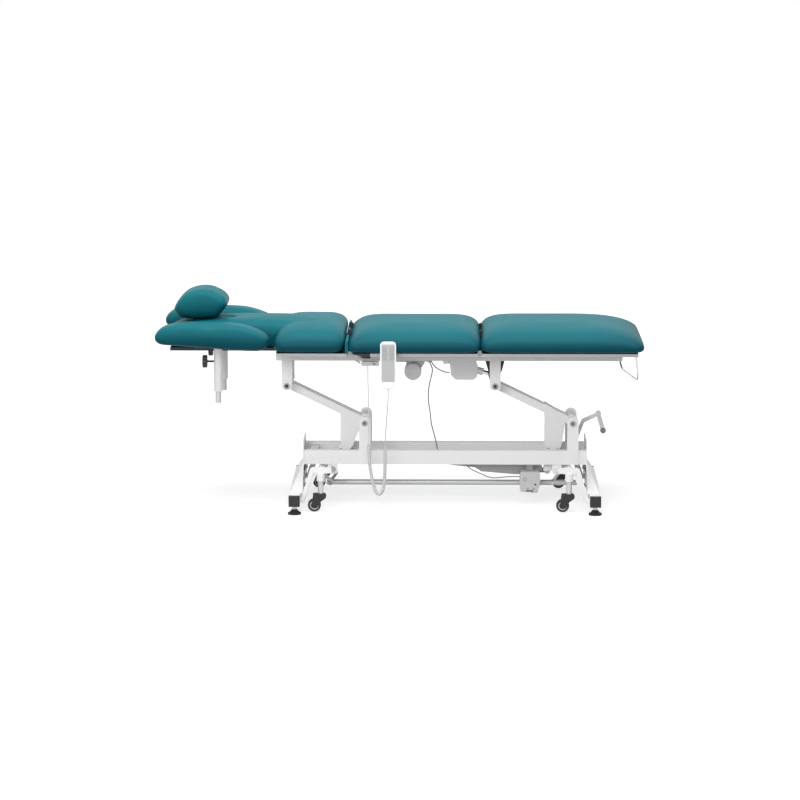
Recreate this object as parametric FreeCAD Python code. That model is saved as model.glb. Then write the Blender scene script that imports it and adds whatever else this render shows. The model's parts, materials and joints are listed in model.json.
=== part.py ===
# Electric massage table: a base on four levelling feet with a castor lift, two parallel lift arms,
# and a top frame that carries a back section, a seat and a leg section.
# Lengths are in millimetres. X runs along the table with the foot end at +X, Y runs away from the
# handset side, and Z is up from the floor. The origin is on the floor under the middle.

import FreeCAD
import Part
import math
import os

os.makedirs("parts", exist_ok=True)
Vec = FreeCAD.Vector

# Fits
air = 0.4                  # gap between pieces that move past each other
running = 0.05             # radial clearance of a pin in its bore

# Base
mirror_x = 173.65          # the plane that swaps the head end and the foot end
rail_inner = 81.0
rail_width = 30.0
rail_z0 = 159.0
rail_height = 54.0
rail_wall = 2.5
leg_plate_x = -371.0       # outer face of the head leg plate
sheet = 4.0                # folded sheet of legs, posts and hangers
leg_plate_top = 245.0
skirt_top = 157.0
skirt_half_top = 115.0
skirt_half_floor = 270.0
foot_tube = 40.0
foot_tube_x = -395.5
foot_tube_z0 = 35.0
foot_tube_half = 322.0
cap_length = 13.0
cap_size = 42.0
foot_y = foot_tube_half - 22   # levelling feet
foot_disc_radius = 25.0

# Lift arms and levers
lower_pivot_x = -134.0
lower_pivot_z = 319.5
upper_pivot_x = -431.2
upper_pivot_z = 463.0
arm_spacing = 796.3
arm_half_width = 37.5
arm_above = 8.0
arm_below = 20.0
hub_radius = 16.0
pivot_radius = 8.0
post_width = 44.0
post_top = 345.0
lift_pin_x = -229.0
lift_pin_z = 198.0
lift_slot_out = 26.0
lift_slot_side = 4.0
lift_pin_radius = 6.0
lift_tail_x = 569.0
lift_tail_z = 118.0

# Castor lift
castor_pivot_x = -367.0
castor_pivot_z = 47.0
castor_y = 250.0
castor_stem_x = -298.0
castor_offset = 24.0
wheel_radius = 24.8
wheel_center_z = 26.6
wheel_half_width = 9.0
cam_shaft_x = -256.0
cam_shaft_z = 141.0
cam_shaft_radius = 10.0
hanger_outer = 108.0
crank_dx = -13.6
crank_dz = -71.2
crank_pin_radius = 5.0
link_radius = 10.5
frame_ratio = 0.3106       # castor frame angle per shaft angle
pedal_travel = 25.0        # degrees
pedal_y = 222.0
pedal_bend_x = 714.5
pedal_bend_z = 276.0
pedal_bar_x = 775.0
pedal_bar_z = 304.0
finger_reach = 24.8
finger_nose = 5.0          # radius of the finger's rounded tip
crank_y0 = 15.0            # inner face of both cranks
crank_y1 = 19.5
crank_knee = 17.0          # how far a crank bows towards the foot end

# Top frame
top_z0 = 560.0
top_height = 40.0
top_x0 = -470.0
top_x1 = 848.0
board_z = 600.4
board = 12.0
board_half = 285.0
hinge_z = 672.0
ear_z0 = board_z + 0.6      # the ears swing clear of the rails
back_hinge_x = -190.0
leg_hinge_x = 310.0
cross_x0 = 98.0
cross_x1 = 187.0

# Cushions
cushion_z0 = 612.4
cushion_z1 = 705.0
cushion_half = 316.0
seat_x0 = -178.0
seat_x1 = 303.0
leg_x0 = 317.0
leg_x1 = 926.0
back_x1 = -203.0
back_step_x = -476.0
head_x0 = -900.0
head_half = 140.0
hole_x = -655.0
hole_radius = 22.0

# Armrests
rest_stem_x = -690.0
rest_stem_y = 160.0
sleeve_radius = 16.5
sleeve_z0 = 450.0
stem_radius = 11.5
stem_z0 = 405.0
rest_tip_x = -926.0
rest_in = 182.0
rest_out = 322.0
knob_x = rest_stem_x - 50
knob_z = 564.0
knob_radius = 24.5

# Section actuators
back_pin_x = -150.0
back_pin_z = 550.0
back_tail_x = 110.0
back_tail_z = 550.0
leg_pin_x = 356.0
leg_pin_z = 500.0
leg_tail_x = 175.0
leg_tail_z = 552.0
leg_drive_y = -60.0

# Handset
handset_x = -40.0
handset_width = 60.0
handset_z0 = 485.0
handset_z1 = 663.0
handset_face = -cushion_half - 16.5
handset_back = -cushion_half - 2


# Shapes in the table's own axes

def block(x0, x1, y0, y1, z0, z1):
    return Part.makeBox(x1 - x0, y1 - y0, z1 - z0, Vec(x0, y0, z0))


def bar_x(y, z, radius, x0, x1):
    return Part.makeCylinder(radius, x1 - x0, Vec(x0, y, z), Vec(1, 0, 0))


def bar_y(x, z, radius, y0, y1):
    return Part.makeCylinder(radius, y1 - y0, Vec(x, y0, z), Vec(0, 1, 0))


def bar_z(x, y, radius, z0, z1):
    return Part.makeCylinder(radius, z1 - z0, Vec(x, y, z0), Vec(0, 0, 1))


def corner_wire(points, radii):
    # A closed outline with each corner rounded by its own radius.
    count = len(points)
    edges = []
    starts = []
    ends = []
    for i in range(count):
        here = points[i]
        before = points[i - 1].sub(here)
        after = points[(i + 1) % count].sub(here)
        radius = radii[i] if isinstance(radii, (list, tuple)) else radii
        turn = before.getAngle(after)
        reach = radius / math.tan(turn / 2) if radius > 0 else 0.0
        before.normalize()
        after.normalize()
        start = here.add(before.multiply(reach))
        end = here.add(after.multiply(reach))
        starts.append(start)
        ends.append(end)
    for i in range(count):
        if starts[i].distanceToPoint(ends[i]) > 1e-6:
            here = points[i]
            chord = starts[i].add(ends[i]).multiply(0.5)
            radius = radii[i] if isinstance(radii, (list, tuple)) else radii
            reach = here.distanceToPoint(starts[i])
            outward = here.sub(chord)
            gap = here.distanceToPoint(chord)
            center_gap = math.sqrt(radius * radius + reach * reach)
            outward.normalize()
            middle = here.sub(outward.multiply(center_gap - radius))
            edges.append(Part.Arc(starts[i], middle, ends[i]).toShape())
        following = starts[(i + 1) % count]
        if ends[i].distanceToPoint(following) > 1e-6:
            edges.append(Part.makeLine(ends[i], following))
    return Part.Wire(edges)


def plate(points, y0, y1, radii=0.0):
    # An outline in X and Z, given thickness along Y.
    wire = corner_wire([Vec(x, y0, z) for x, z in points], radii)
    return Part.Face(wire).extrude(Vec(0, y1 - y0, 0))


def slab(points, z0, z1, radii=0.0):
    # An outline in X and Y, given thickness along Z.
    wire = corner_wire([Vec(x, y, z0) for x, y in points], radii)
    return Part.Face(wire).extrude(Vec(0, 0, z1 - z0))


def panel(points, x0, x1, radii=0.0):
    # An outline in Y and Z, given thickness along X.
    wire = corner_wire([Vec(x0, y, z) for y, z in points], radii)
    return Part.Face(wire).extrude(Vec(x1 - x0, 0, 0))


def box_tube_x(x0, x1, y0, y1, z0, z1, wall):
    inside = block(x0 - 1, x1 + 1, y0 + wall, y1 - wall, z0 + wall, z1 - wall)
    return block(x0, x1, y0, y1, z0, z1).cut(inside)


def fuse(shapes):
    return shapes[0].multiFuse(shapes[1:]).removeSplitter() if len(shapes) > 1 else shapes[0]


def cut(shape, tools):
    for tool in tools:
        shape = shape.cut(tool)
    return shape


def far(shape):
    return shape.mirror(Vec(0, 0, 0), Vec(0, 1, 0))


def both(shape):
    return [shape, far(shape)]


def foot_end(shape):
    return shape.mirror(Vec(mirror_x, 0, 0), Vec(1, 0, 0))


def at_foot(x):
    return 2 * mirror_x - x


def strip(a, b, half, y0, y1):
    # A bar with round ends between two points in X and Z.
    run = math.atan2(b[1] - a[1], b[0] - a[0])
    nx = -math.sin(run) * half
    nz = math.cos(run) * half
    web = plate([(a[0] + nx, a[1] + nz), (b[0] + nx, b[1] + nz), (b[0] - nx, b[1] - nz),
                 (a[0] - nx, a[1] - nz)], y0, y1)
    return fuse([bar_y(a[0], a[1], half, y0, y1), bar_y(b[0], b[1], half, y0, y1), web])


def cord(points, radius):
    # A round cord along straight runs that are joined by tangent arcs.
    points = [Vec(*p) for p in points]
    edges = []
    last = points[0]
    for i in range(1, len(points) - 1):
        here = points[i]
        before = points[i - 1].sub(here)
        after = points[i + 1].sub(here)
        turn = before.getAngle(after)
        reach = 0.45 * min(before.Length, after.Length)
        bend = reach * math.tan(turn / 2)
        before.normalize()
        after.normalize()
        start = here.add(before.multiply(reach))
        end = here.add(after.multiply(reach))
        chord = start.add(end).multiply(0.5)
        outward = here.sub(chord)
        outward.normalize()
        center_gap = math.sqrt(bend * bend + reach * reach)
        middle = here.sub(outward.multiply(center_gap - bend))
        edges.append(Part.makeLine(last, start))
        edges.append(Part.Arc(start, middle, end).toShape())
        last = end
    edges.append(Part.makeLine(last, points[-1]))
    path = Part.Wire(edges)
    first = points[1].sub(points[0])
    ring = Part.Wire(Part.makeCircle(radius, points[0], first))
    pipe = Part.BRepOffsetAPI.MakePipeShell(path)
    pipe.add(ring)
    pipe.setTransitionMode(1)
    pipe.build()
    pipe.makeSolid()
    return pipe.shape()


def soft_block(points, z0, z1, side, top, bottom):
    # A cushion: an outline in X and Y with rounded upright, top and bottom edges.
    body = slab(points, z0, z1, side)
    upper = [e for e in body.Edges if abs(e.BoundBox.ZMin - z1) < 1e-4]
    body = body.makeFillet(top, upper)
    lower = [e for e in body.Edges if abs(e.BoundBox.ZMax - z0) < 1e-4]
    return body.makeFillet(bottom, lower)


def save(name, shape):
    if isinstance(shape, (list, tuple)):
        shape = Part.makeCompound(list(shape))
    shape.exportStep("parts/" + name + ".step")


# Base frame

rail_outer = rail_inner + rail_width
rail_z1 = rail_z0 + rail_height
post_outer = rail_outer + sheet + 1
rail_end_x = leg_plate_x + sheet
hanger_inner = hanger_outer - 5


def base_rails():
    near = box_tube_x(rail_end_x, at_foot(rail_end_x), -rail_outer, -rail_inner, rail_z0, rail_z1,
                      rail_wall)
    hanger = plate([(cam_shaft_x - 18, rail_z0), (cam_shaft_x + 18, rail_z0),
                    (cam_shaft_x + 18, cam_shaft_z - 20), (cam_shaft_x - 18, cam_shaft_z - 20)],
                   -hanger_outer, -hanger_inner, [0, 0, 10, 10])
    bore = bar_y(cam_shaft_x, cam_shaft_z, cam_shaft_radius + running, -130, 130)
    hanger = hanger.cut(bore)
    drop = block(lift_tail_x - 17, lift_tail_x + 17, -rail_inner, -rail_inner + sheet, 130, 200)
    side = both(near) + both(hanger) + both(foot_end(hanger)) + both(drop)
    end_bar = block(-345, -315, -rail_inner, rail_inner, 165, 205)
    inner = rail_inner - sheet
    hang_bar = block(lift_tail_x - 11, lift_tail_x + 13, -inner, inner, 134, 158)
    lug = plate([(lift_tail_x - 12, 140), (lift_tail_x + 12, 140),
                 (lift_tail_x + 12, lift_tail_z - 12), (lift_tail_x - 12, lift_tail_z - 12)],
                -13.5, -8.5, [0, 0, 11, 11])
    pin = bar_y(lift_tail_x, lift_tail_z, 5, -14, 14)
    return fuse(side + [end_bar, hang_bar, pin] + both(lug))


def post_plates():
    half = post_width / 2
    near = plate([(lower_pivot_x + 1 - half, rail_z0), (lower_pivot_x + 1 + half, rail_z0),
                  (lower_pivot_x + 1 + half, post_top), (lower_pivot_x + 1 - half, post_top)],
                 -post_outer, -rail_outer, [0, 0, 20, 20])
    shank = bar_y(lower_pivot_x, lower_pivot_z, pivot_radius, -post_outer, -60)
    head = bar_y(lower_pivot_x, lower_pivot_z, 12, -post_outer - 6, -post_outer)
    socket = bar_y(lower_pivot_x, lower_pivot_z, 6.5, -post_outer - 7, -post_outer - 3)
    head = head.cut(socket)
    near = fuse([near, shank, head])
    return both(near) + both(near.translated(Vec(arm_spacing, 0, 0)))


def head_leg():
    inner_face = leg_plate_x + sheet
    outer_low = foot_tube_x - 18.5
    outer_top = leg_plate_x - 2

    def shell(offset, x_in, z_low, z_high):
        low = [Vec(outer_low + offset, -skirt_half_floor + offset, z_low),
               Vec(x_in, -skirt_half_floor + offset, z_low),
               Vec(x_in, skirt_half_floor - offset, z_low),
               Vec(outer_low + offset, skirt_half_floor - offset, z_low)]
        high = [Vec(outer_top + offset, -skirt_half_top + offset, z_high),
                Vec(x_in, -skirt_half_top + offset, z_high),
                Vec(x_in, skirt_half_top - offset, z_high),
                Vec(outer_top + offset, skirt_half_top - offset, z_high)]
        wires = [Part.makePolygon(low + [low[0]]), Part.makePolygon(high + [high[0]])]
        return Part.makeLoft(wires, True, True)

    tube_top = foot_tube_z0 + foot_tube
    outside = shell(0.0, inner_face, tube_top, skirt_top)
    inside = shell(sheet, inner_face + 10, tube_top, skirt_top)
    skirt = outside.cut(inside)
    upright = panel([(-skirt_half_top, skirt_top - 4), (skirt_half_top, skirt_top - 4),
                     (skirt_half_top, leg_plate_top), (-skirt_half_top, leg_plate_top)],
                    leg_plate_x, inner_face, [0, 0, 12, 12])
    cover = panel([(-skirt_half_top, skirt_top - 4), (skirt_half_top, skirt_top - 4),
                   (skirt_half_top, skirt_top + 6), (-skirt_half_top, skirt_top + 6)],
                  outer_top, inner_face)
    half = foot_tube / 2
    tube = block(foot_tube_x - half, foot_tube_x + half, -foot_tube_half, foot_tube_half,
                 foot_tube_z0, tube_top)
    hollow = block(foot_tube_x - half + 2, foot_tube_x + half - 2, -foot_tube_half - 1,
                   foot_tube_half + 1, foot_tube_z0 + 2, tube_top - 2)
    stud_holes = [bar_z(foot_tube_x, y, 6 + running, foot_tube_z0 - 1, foot_tube_z0 + 5)
                  for y in (-foot_y, foot_y)]
    tube = cut(tube, [hollow] + stud_holes)
    lug_y = castor_y + 11 + air
    lug = block(foot_tube_x + half - 1, castor_pivot_x + 8, -lug_y - 4, -lug_y,
                castor_pivot_z - 9, castor_pivot_z + 9)
    pin = bar_y(castor_pivot_x, castor_pivot_z, 4, -lug_y - 3, -castor_y + 13)
    return fuse([skirt, upright, cover, tube] + both(fuse([lug, pin])))


def foot_caps():
    half = cap_size / 2
    middle = foot_tube_z0 + foot_tube / 2
    face = block(foot_tube_x - half, foot_tube_x + half, -foot_tube_half - cap_length,
                 -foot_tube_half, middle - half, middle + half)
    face = face.makeChamfer(1.5, [e for e in face.Edges
                                  if e.BoundBox.YMax < -foot_tube_half - cap_length + 0.01])
    plug = block(foot_tube_x - 17.8, foot_tube_x + 17.8, -foot_tube_half, -foot_tube_half + 8,
                 middle - 17.8, middle + 17.8)
    cap = fuse([face, plug])
    shapes = []
    for shape in both(cap):
        shapes.append(shape)
        shapes.append(foot_end(shape))
    return shapes


def levelling_foot(x, y):
    disc = bar_z(x, y, foot_disc_radius, 0, 7)
    neck = Part.makeCone(foot_disc_radius - 4, 9, 14, Vec(x, y, 7), Vec(0, 0, 1))
    collar = bar_z(x, y, 9, 21, foot_tube_z0 - 1)
    stud = bar_z(x, y, 6, foot_tube_z0 - 1, foot_tube_z0 + 30)
    return fuse([disc, neck, collar, stud])


def control_box():
    body = plate([(464, 128), (539, 128), (540, 94), (531, 47), (464, 50), (461, 94)],
                 -95, -45, 5.0)
    strap = plate([(488, 112), (512, 112), (512, 186), (488, 186)], -45, -41)
    foot = block(488, 512, -rail_inner, -41, 182, 186)
    dial = bar_y(533, 74, 6, -98, -95)
    inlet = block(504, 528, -90, -62, 45.5, 50)
    body = fuse([body, dial, inlet])
    return fuse([body, strap, foot])


# Castor frames, shafts and pedal

def castor_frame():
    # Side arms, brackets, sockets, stems and the tube that joins the two sides at the head end.
    y0 = -castor_y - 11
    bend_x = castor_pivot_x + 33
    tip_x = cam_shaft_x - 0.5
    front = plate([(castor_pivot_x - 6, castor_pivot_z), (castor_pivot_x + 6, castor_pivot_z),
                   (bend_x + 8, 150), (tip_x, 150), (tip_x, 173), (bend_x - 2, 173)],
                  y0, y0 + 5, [0, 0, 0, 8, 8, 12])
    web = plate([(castor_pivot_x - 6, castor_pivot_z), (castor_pivot_x + 12, castor_pivot_z),
                 (bend_x + 20, 142), (tip_x - 10, 150), (tip_x - 10, 170), (bend_x + 2, 170)],
                y0 + 5, y0 + 12)
    eye = bar_y(castor_pivot_x, castor_pivot_z, 8, y0, y0 + 22)
    shelf = block(castor_stem_x - 15, castor_stem_x + 15, y0, -castor_y + 15, 149, 173)
    socket = bar_z(castor_stem_x, -castor_y, 15.5, 120, 150)
    stem = bar_z(castor_stem_x, -castor_y, 10.5, 72, 121)
    bolt = bar_z(castor_stem_x, -castor_y, 8, 173, 179)
    swivel_bore = bar_z(castor_stem_x, -castor_y, 5 + running, 71, 112)
    pivot_bore = bar_y(castor_pivot_x, castor_pivot_z, 4 + running, y0 - 1, -castor_y + 14)
    side = cut(fuse([front, web, eye, shelf, socket, stem, bolt]), [swivel_bore, pivot_bore])
    tube = block(-311, -289, -castor_y + 9, castor_y - 9, 114, 136)
    return fuse(both(side) + [tube])


def slot_path(shaft_x, pivot_x, sign):
    # Where the crank pin sits in the castor frame's own axes over the pedal's travel.
    places = []
    for step in range(7):
        shaft = math.radians(pedal_travel) * step / 6.0
        frame = sign * frame_ratio * shaft
        px = shaft_x + crank_dx * math.cos(shaft) + crank_dz * math.sin(shaft)
        pz = cam_shaft_z - crank_dx * math.sin(shaft) + crank_dz * math.cos(shaft)
        dx = px - pivot_x
        dz = pz - castor_pivot_z
        places.append((pivot_x + dx * math.cos(frame) - dz * math.sin(frame),
                       castor_pivot_z + dx * math.sin(frame) + dz * math.cos(frame)))
    return places


slot_y0 = -20.0
slot_y1 = -15.5


def head_castor_frame():
    # The head frame is pressed down by the crank pin in a slotted plate.
    places = slot_path(cam_shaft_x, castor_pivot_x, 1)
    first = places[0]
    last = places[-1]
    margin = crank_pin_radius + air + 6
    cam = plate([(last[0] - margin, last[1] - 4), (last[0] - 2, last[1] - margin),
                 (first[0], first[1] - margin), (first[0] + margin, first[1] - 4),
                 (first[0] + margin, first[1] + 9), (-285, 106), (-285, 136), (-311, 136),
                 (-311, 112)], slot_y0, slot_y1, [4, 3, 4, 4, 4, 3, 0, 0, 3])
    slot = [strip(a, b, crank_pin_radius + air, slot_y0 - 1, slot_y1 + 1)
            for a, b in zip(places, places[1:])]
    cam = cut(cam, slot)
    return fuse([castor_frame(), cam])


def foot_castor_frame():
    # The foot frame is pressed down by a finger on the pedal shaft.
    frame = foot_end(castor_frame())
    nose_x = at_foot(cam_shaft_x) + finger_reach
    top = cam_shaft_z - finger_nose - 1.6
    lug = block(nose_x - 4, at_foot(-311) + 2, -62, -46, top - 12, top)
    return fuse([frame, lug])


def castor_fork(stem_x, y):
    outline = [(-20, 71.6), (16, 71.6), (22, 63), (19, 54), (2, 42), (-8, 27), (-15, 17),
               (-33, 17), (-38, 27), (-31, 42), (-30, 61)]
    outline = [(stem_x + dx, z) for dx, z in outline]
    radii = [5, 5, 4, 3, 6, 0, 4, 4, 0, 0, 6]
    cheek_in = wheel_half_width + 1.5
    cheek = plate(outline, y - cheek_in - 3, y - cheek_in, radii)
    other = plate(outline, y + cheek_in, y + cheek_in + 3, radii)
    crown = plate([(stem_x - 29, 71.6), (stem_x + 15, 71.6), (stem_x + 21, 63),
                   (stem_x + 18, 54.5), (stem_x - 29, 54.5)], y - cheek_in, y + cheek_in)
    pin = bar_z(stem_x, y, 5, 70, 110)
    axle = bar_y(stem_x - castor_offset, wheel_center_z, 4, y - cheek_in - 1, y + cheek_in + 1)
    return fuse([cheek, other, crown, pin, axle])


def castor_wheel(stem_x, y):
    x = stem_x - castor_offset
    half = wheel_half_width
    tyre = bar_y(x, wheel_center_z, wheel_radius, y - half, y + half)
    rounded = tyre.makeFillet(3.0, [e for e in tyre.Edges if e.Length > 100 and
                                    abs(e.BoundBox.YMax - e.BoundBox.YMin) < 0.01])
    ring_out = bar_y(x, wheel_center_z, 17.5, y - half - 1, y + half + 1)
    ring_in = bar_y(x, wheel_center_z, 9, y - half - 2, y + half + 2)
    web = bar_y(x, wheel_center_z, 18, y - half + 3, y + half - 3)
    groove = ring_out.cut(ring_in).cut(web)
    bore = bar_y(x, wheel_center_z, 4 + running, y - half - 2, y + half + 2)
    return cut(rounded, [groove, bore])


def crank(shaft_x):
    # The crank bows round the castor frame's cross tube.
    hub = (shaft_x, cam_shaft_z)
    knee = (shaft_x + crank_dx / 2 + crank_knee, cam_shaft_z + crank_dz * 0.55)
    pin = (shaft_x + crank_dx, cam_shaft_z + crank_dz)
    return fuse([bar_y(hub[0], hub[1], 14, crank_y0, crank_y1),
                 bar_y(pin[0], pin[1], 8.5, crank_y0, crank_y1),
                 strip(hub, knee, 5.5, crank_y0, crank_y1),
                 strip(knee, pin, 5.5, crank_y0, crank_y1)])


def head_cam_shaft():
    shaft = bar_y(cam_shaft_x, cam_shaft_z, cam_shaft_radius, -114, 114)
    pin_x = cam_shaft_x + crank_dx
    pin_z = cam_shaft_z + crank_dz
    pin = bar_y(pin_x, pin_z, crank_pin_radius, slot_y0 - 4, crank_y0 + 1)
    washer = bar_y(pin_x, pin_z, 8, slot_y0 - 4, slot_y0 - 0.6)
    collar = bar_y(cam_shaft_x, cam_shaft_z, 14, 98, 102.5)
    return fuse([shaft, crank(cam_shaft_x), pin, washer] + both(collar))


def pedal():
    shaft_x = at_foot(cam_shaft_x)
    shaft = bar_y(shaft_x, cam_shaft_z, cam_shaft_radius, -114, pedal_y + 6)
    collar = bar_y(shaft_x, cam_shaft_z, 14, 98, 102.5)
    pin_x = shaft_x + crank_dx
    pin_z = cam_shaft_z + crank_dz
    pin = bar_y(pin_x, pin_z, crank_pin_radius, -14, crank_y0 + 1)
    finger = plate([(shaft_x, cam_shaft_z - 10), (shaft_x + finger_reach, cam_shaft_z - finger_nose),
                    (shaft_x + finger_reach, cam_shaft_z + finger_nose), (shaft_x, cam_shaft_z + 10)],
                   -60, -48)
    nose = bar_y(shaft_x + finger_reach, cam_shaft_z, finger_nose, -60, -48)
    knee_x = pedal_bend_x - 42.5
    knee_z = pedal_bend_z - 110
    arm = plate([(shaft_x - 8, cam_shaft_z - 8), (shaft_x + 6, cam_shaft_z - 9),
                 (knee_x + 6, knee_z - 6), (pedal_bend_x + 5, pedal_bend_z - 7),
                 (pedal_bar_x, pedal_bar_z - 8), (pedal_bar_x, pedal_bar_z + 7),
                 (pedal_bend_x - 4, pedal_bend_z + 7), (knee_x - 7, knee_z + 5),
                 (shaft_x - 5, cam_shaft_z + 10)],
                pedal_y - 6, pedal_y + 6, [4, 4, 8, 6, 4, 4, 14, 6, 4])
    bar = bar_y(pedal_bar_x, pedal_bar_z, 9, -176, pedal_y + 6)
    grips = [bar_y(pedal_bar_x, pedal_bar_z, 11, -184, -176),
             bar_y(pedal_bar_x, pedal_bar_z, 11, pedal_y + 6, pedal_y + 12)]
    return fuse([shaft, collar, far(collar), crank(shaft_x), pin, finger, nose, arm, bar] + grips)


def link_rod():
    z = cam_shaft_z + crank_dz
    rod = bar_x(0, z, link_radius, cam_shaft_x + crank_dx - 13, at_foot(cam_shaft_x) + 94)
    head_bore = bar_y(cam_shaft_x + crank_dx, z, crank_pin_radius + air, -12, 12)
    foot_bore = bar_y(at_foot(cam_shaft_x) + crank_dx, z, crank_pin_radius + running, -12, 12)
    return cut(rod, [head_bore, foot_bore])


# Lift arms

def arm_body(lower_x, upper_x):
    dx = upper_x - lower_x
    dz = upper_pivot_z - lower_pivot_z
    length = math.hypot(dx, dz)
    ux = dx / length
    uz = dz / length
    nx = -uz if ux > 0 else uz
    nz = ux if ux > 0 else -ux

    def spot(along, across):
        return (lower_x + ux * along + nx * across, lower_pivot_z + uz * along + nz * across)

    outside = plate([spot(0, arm_above), spot(length, arm_above), spot(length, -arm_below),
                     spot(0, -arm_below)], -arm_half_width, arm_half_width)
    inside = plate([spot(22, arm_above - 3), spot(length - 22, arm_above - 3),
                    spot(length - 22, 3 - arm_below), spot(22, 3 - arm_below)],
                   3 - arm_half_width, arm_half_width - 3)
    noses = [bar_y(lower_x, lower_pivot_z, 22, -arm_half_width, arm_half_width),
             bar_y(upper_x, upper_pivot_z, 20, -arm_half_width, arm_half_width)]
    reach = rail_outer - air
    hubs = [bar_y(lower_x, lower_pivot_z, hub_radius, -reach, reach),
            bar_y(upper_x, upper_pivot_z, hub_radius, -reach, reach)]
    return [outside.cut(inside)] + noses + hubs


def arm_bores(lower_x, upper_x):
    return [bar_y(lower_x, lower_pivot_z, pivot_radius + running, -120, 120),
            bar_y(upper_x, upper_pivot_z, pivot_radius + running, -120, 120)]


def head_arm():
    edge = lift_pin_x
    lever = plate([(edge, 365), (edge, 222), (edge - 13, 208), (edge - 33, 182),
                   (edge - 28, 167), (edge - 12, 160), (edge + 3, 168), (-183, 216), (-156, 282),
                   (-150, 330)], -arm_half_width, -arm_half_width + 4,
                  [0, 6, 6, 6, 6, 6, 6, 10, 10, 0])
    ux = (lift_pin_x - lower_pivot_x)
    uz = (lift_pin_z - lower_pivot_z)
    length = math.hypot(ux, uz)
    ux /= length
    uz /= length
    half = lift_pin_radius + lift_slot_side
    ends = [(lift_pin_x - ux * 1.0, lift_pin_z - uz * 1.0),
            (lift_pin_x + ux * lift_slot_out, lift_pin_z + uz * lift_slot_out)]
    lever = lever.cut(strip(ends[0], ends[1], half, -60, 60))
    shapes = arm_body(lower_pivot_x, upper_pivot_x) + both(lever)
    return cut(fuse(shapes), arm_bores(lower_pivot_x, upper_pivot_x))


def foot_arm():
    lower_x = lower_pivot_x + arm_spacing
    upper_x = upper_pivot_x + arm_spacing
    back = lower_x - 104.3
    lever = plate([(back, 385), (back, 190), (back + 5, 184), (back + 40, 184),
                   (back + 64, 218), (back + 79, 311), (back + 84, 330)],
                  -arm_half_width, -arm_half_width + 4, [0, 4, 4, 8, 10, 10, 0])
    tie = block(back + 8, back + 14, -arm_half_width, arm_half_width, 190, 214)
    shapes = arm_body(lower_x, upper_x) + both(lever) + [tie]
    return cut(fuse(shapes), arm_bores(lower_x, upper_x))


# Top frame

top_z1 = top_z0 + top_height
top_outer = rail_outer
hanger_z0 = upper_pivot_z - 16


def hinge_ear(x, y0, y1, radius, left, right, z0):
    strap = block(left, right, y0, y1, z0, hinge_z)
    knuckle = bar_y(x, hinge_z, radius, y0, y1)
    return fuse([strap, knuckle])


def top_rails():
    near = box_tube_x(top_x0, top_x1, -top_outer, -rail_inner, top_z0, top_z1, 2.0)
    shapes = both(near)
    for x0, x1 in ((top_x0, top_x0 + 20), (top_x1 - 20, top_x1)):
        shapes.append(block(x0, x1, -rail_inner, rail_inner, top_z0 + 4, top_z1 - 4))
    shapes.append(block(cross_x0, cross_x1, -rail_inner, rail_inner, top_z1 - 20, top_z1 - 1))
    for x in (top_x0 - 2, top_x1):
        shapes += both(block(x, x + 2, -top_outer, -rail_inner, top_z0, top_z1))
    back_lug = plate([(back_tail_x - 11, top_z1 - 15), (back_tail_x + 11, top_z1 - 15),
                      (back_tail_x + 11, back_tail_z - 11), (back_tail_x - 11, back_tail_z - 11)],
                     -11, -7, [0, 0, 10, 10])
    leg_lug = plate([(leg_tail_x - 11, top_z1 - 15), (leg_tail_x + 11, top_z1 - 15),
                     (leg_tail_x + 11, leg_tail_z - 11), (leg_tail_x - 11, leg_tail_z - 11)],
                    leg_drive_y - 12, leg_drive_y - 8, [0, 0, 10, 10])
    shapes += both(back_lug)
    shapes += [leg_lug, leg_lug.translated(Vec(0, 20, 0))]
    shapes.append(bar_y(back_tail_x, back_tail_z, 5, -13, 13))
    shapes.append(bar_y(leg_tail_x, leg_tail_z, 5, leg_drive_y - 14, leg_drive_y + 14))
    back_ear = hinge_ear(back_hinge_x, -104, -100, 9, back_hinge_x - 4, back_hinge_x + 9,
                         top_z1 - 1)
    leg_ear = hinge_ear(leg_hinge_x, -104, -100, 6, leg_hinge_x - 6, leg_hinge_x + 1, top_z1 - 1)
    back_pin = bar_y(back_hinge_x, hinge_z, 4, -112, -100)
    leg_pin = bar_y(leg_hinge_x, hinge_z, 2.5, -112, -100)
    for shape in (back_ear, leg_ear, back_pin, leg_pin):
        shapes += both(shape)
    lead_bar = block(-145, -78, -128, -104, 542, 558)
    lead_bar = fuse([lead_bar, block(-130, -92, -110, -104, 556, 562)])
    hole = bar_y(-96, 551, 5, -130, -112)
    shapes.append(lead_bar.cut(hole))
    hook = bar_y(handset_x, 584, 4, handset_back + 0.5, -top_outer + 1)
    shapes.append(hook)
    return fuse(shapes)


def hanger_plates():
    def one(pivot_x, x0, x1):
        body = plate([(x0, hanger_z0), (x1, hanger_z0), (x1, top_z0 + 26), (x0, top_z0 + 26)],
                     -post_outer, -top_outer, [14, 14, 6, 6])
        flange = block(x1 - 4, x1, -top_outer, -rail_inner, hanger_z0 + 34, top_z0)
        shank = bar_y(pivot_x, upper_pivot_z, pivot_radius, -post_outer, -60)
        head = bar_y(pivot_x, upper_pivot_z, 12, -post_outer - 6, -post_outer)
        socket = bar_y(pivot_x, upper_pivot_z, 6.5, -post_outer - 7, -post_outer - 3)
        return fuse([body, flange, shank, head.cut(socket)])

    foot_pivot_x = upper_pivot_x + arm_spacing
    head = one(upper_pivot_x, upper_pivot_x - 20, upper_pivot_x + 20)
    foot = one(foot_pivot_x, foot_pivot_x - 21, foot_pivot_x + 21)
    return both(head) + both(foot)


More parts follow.
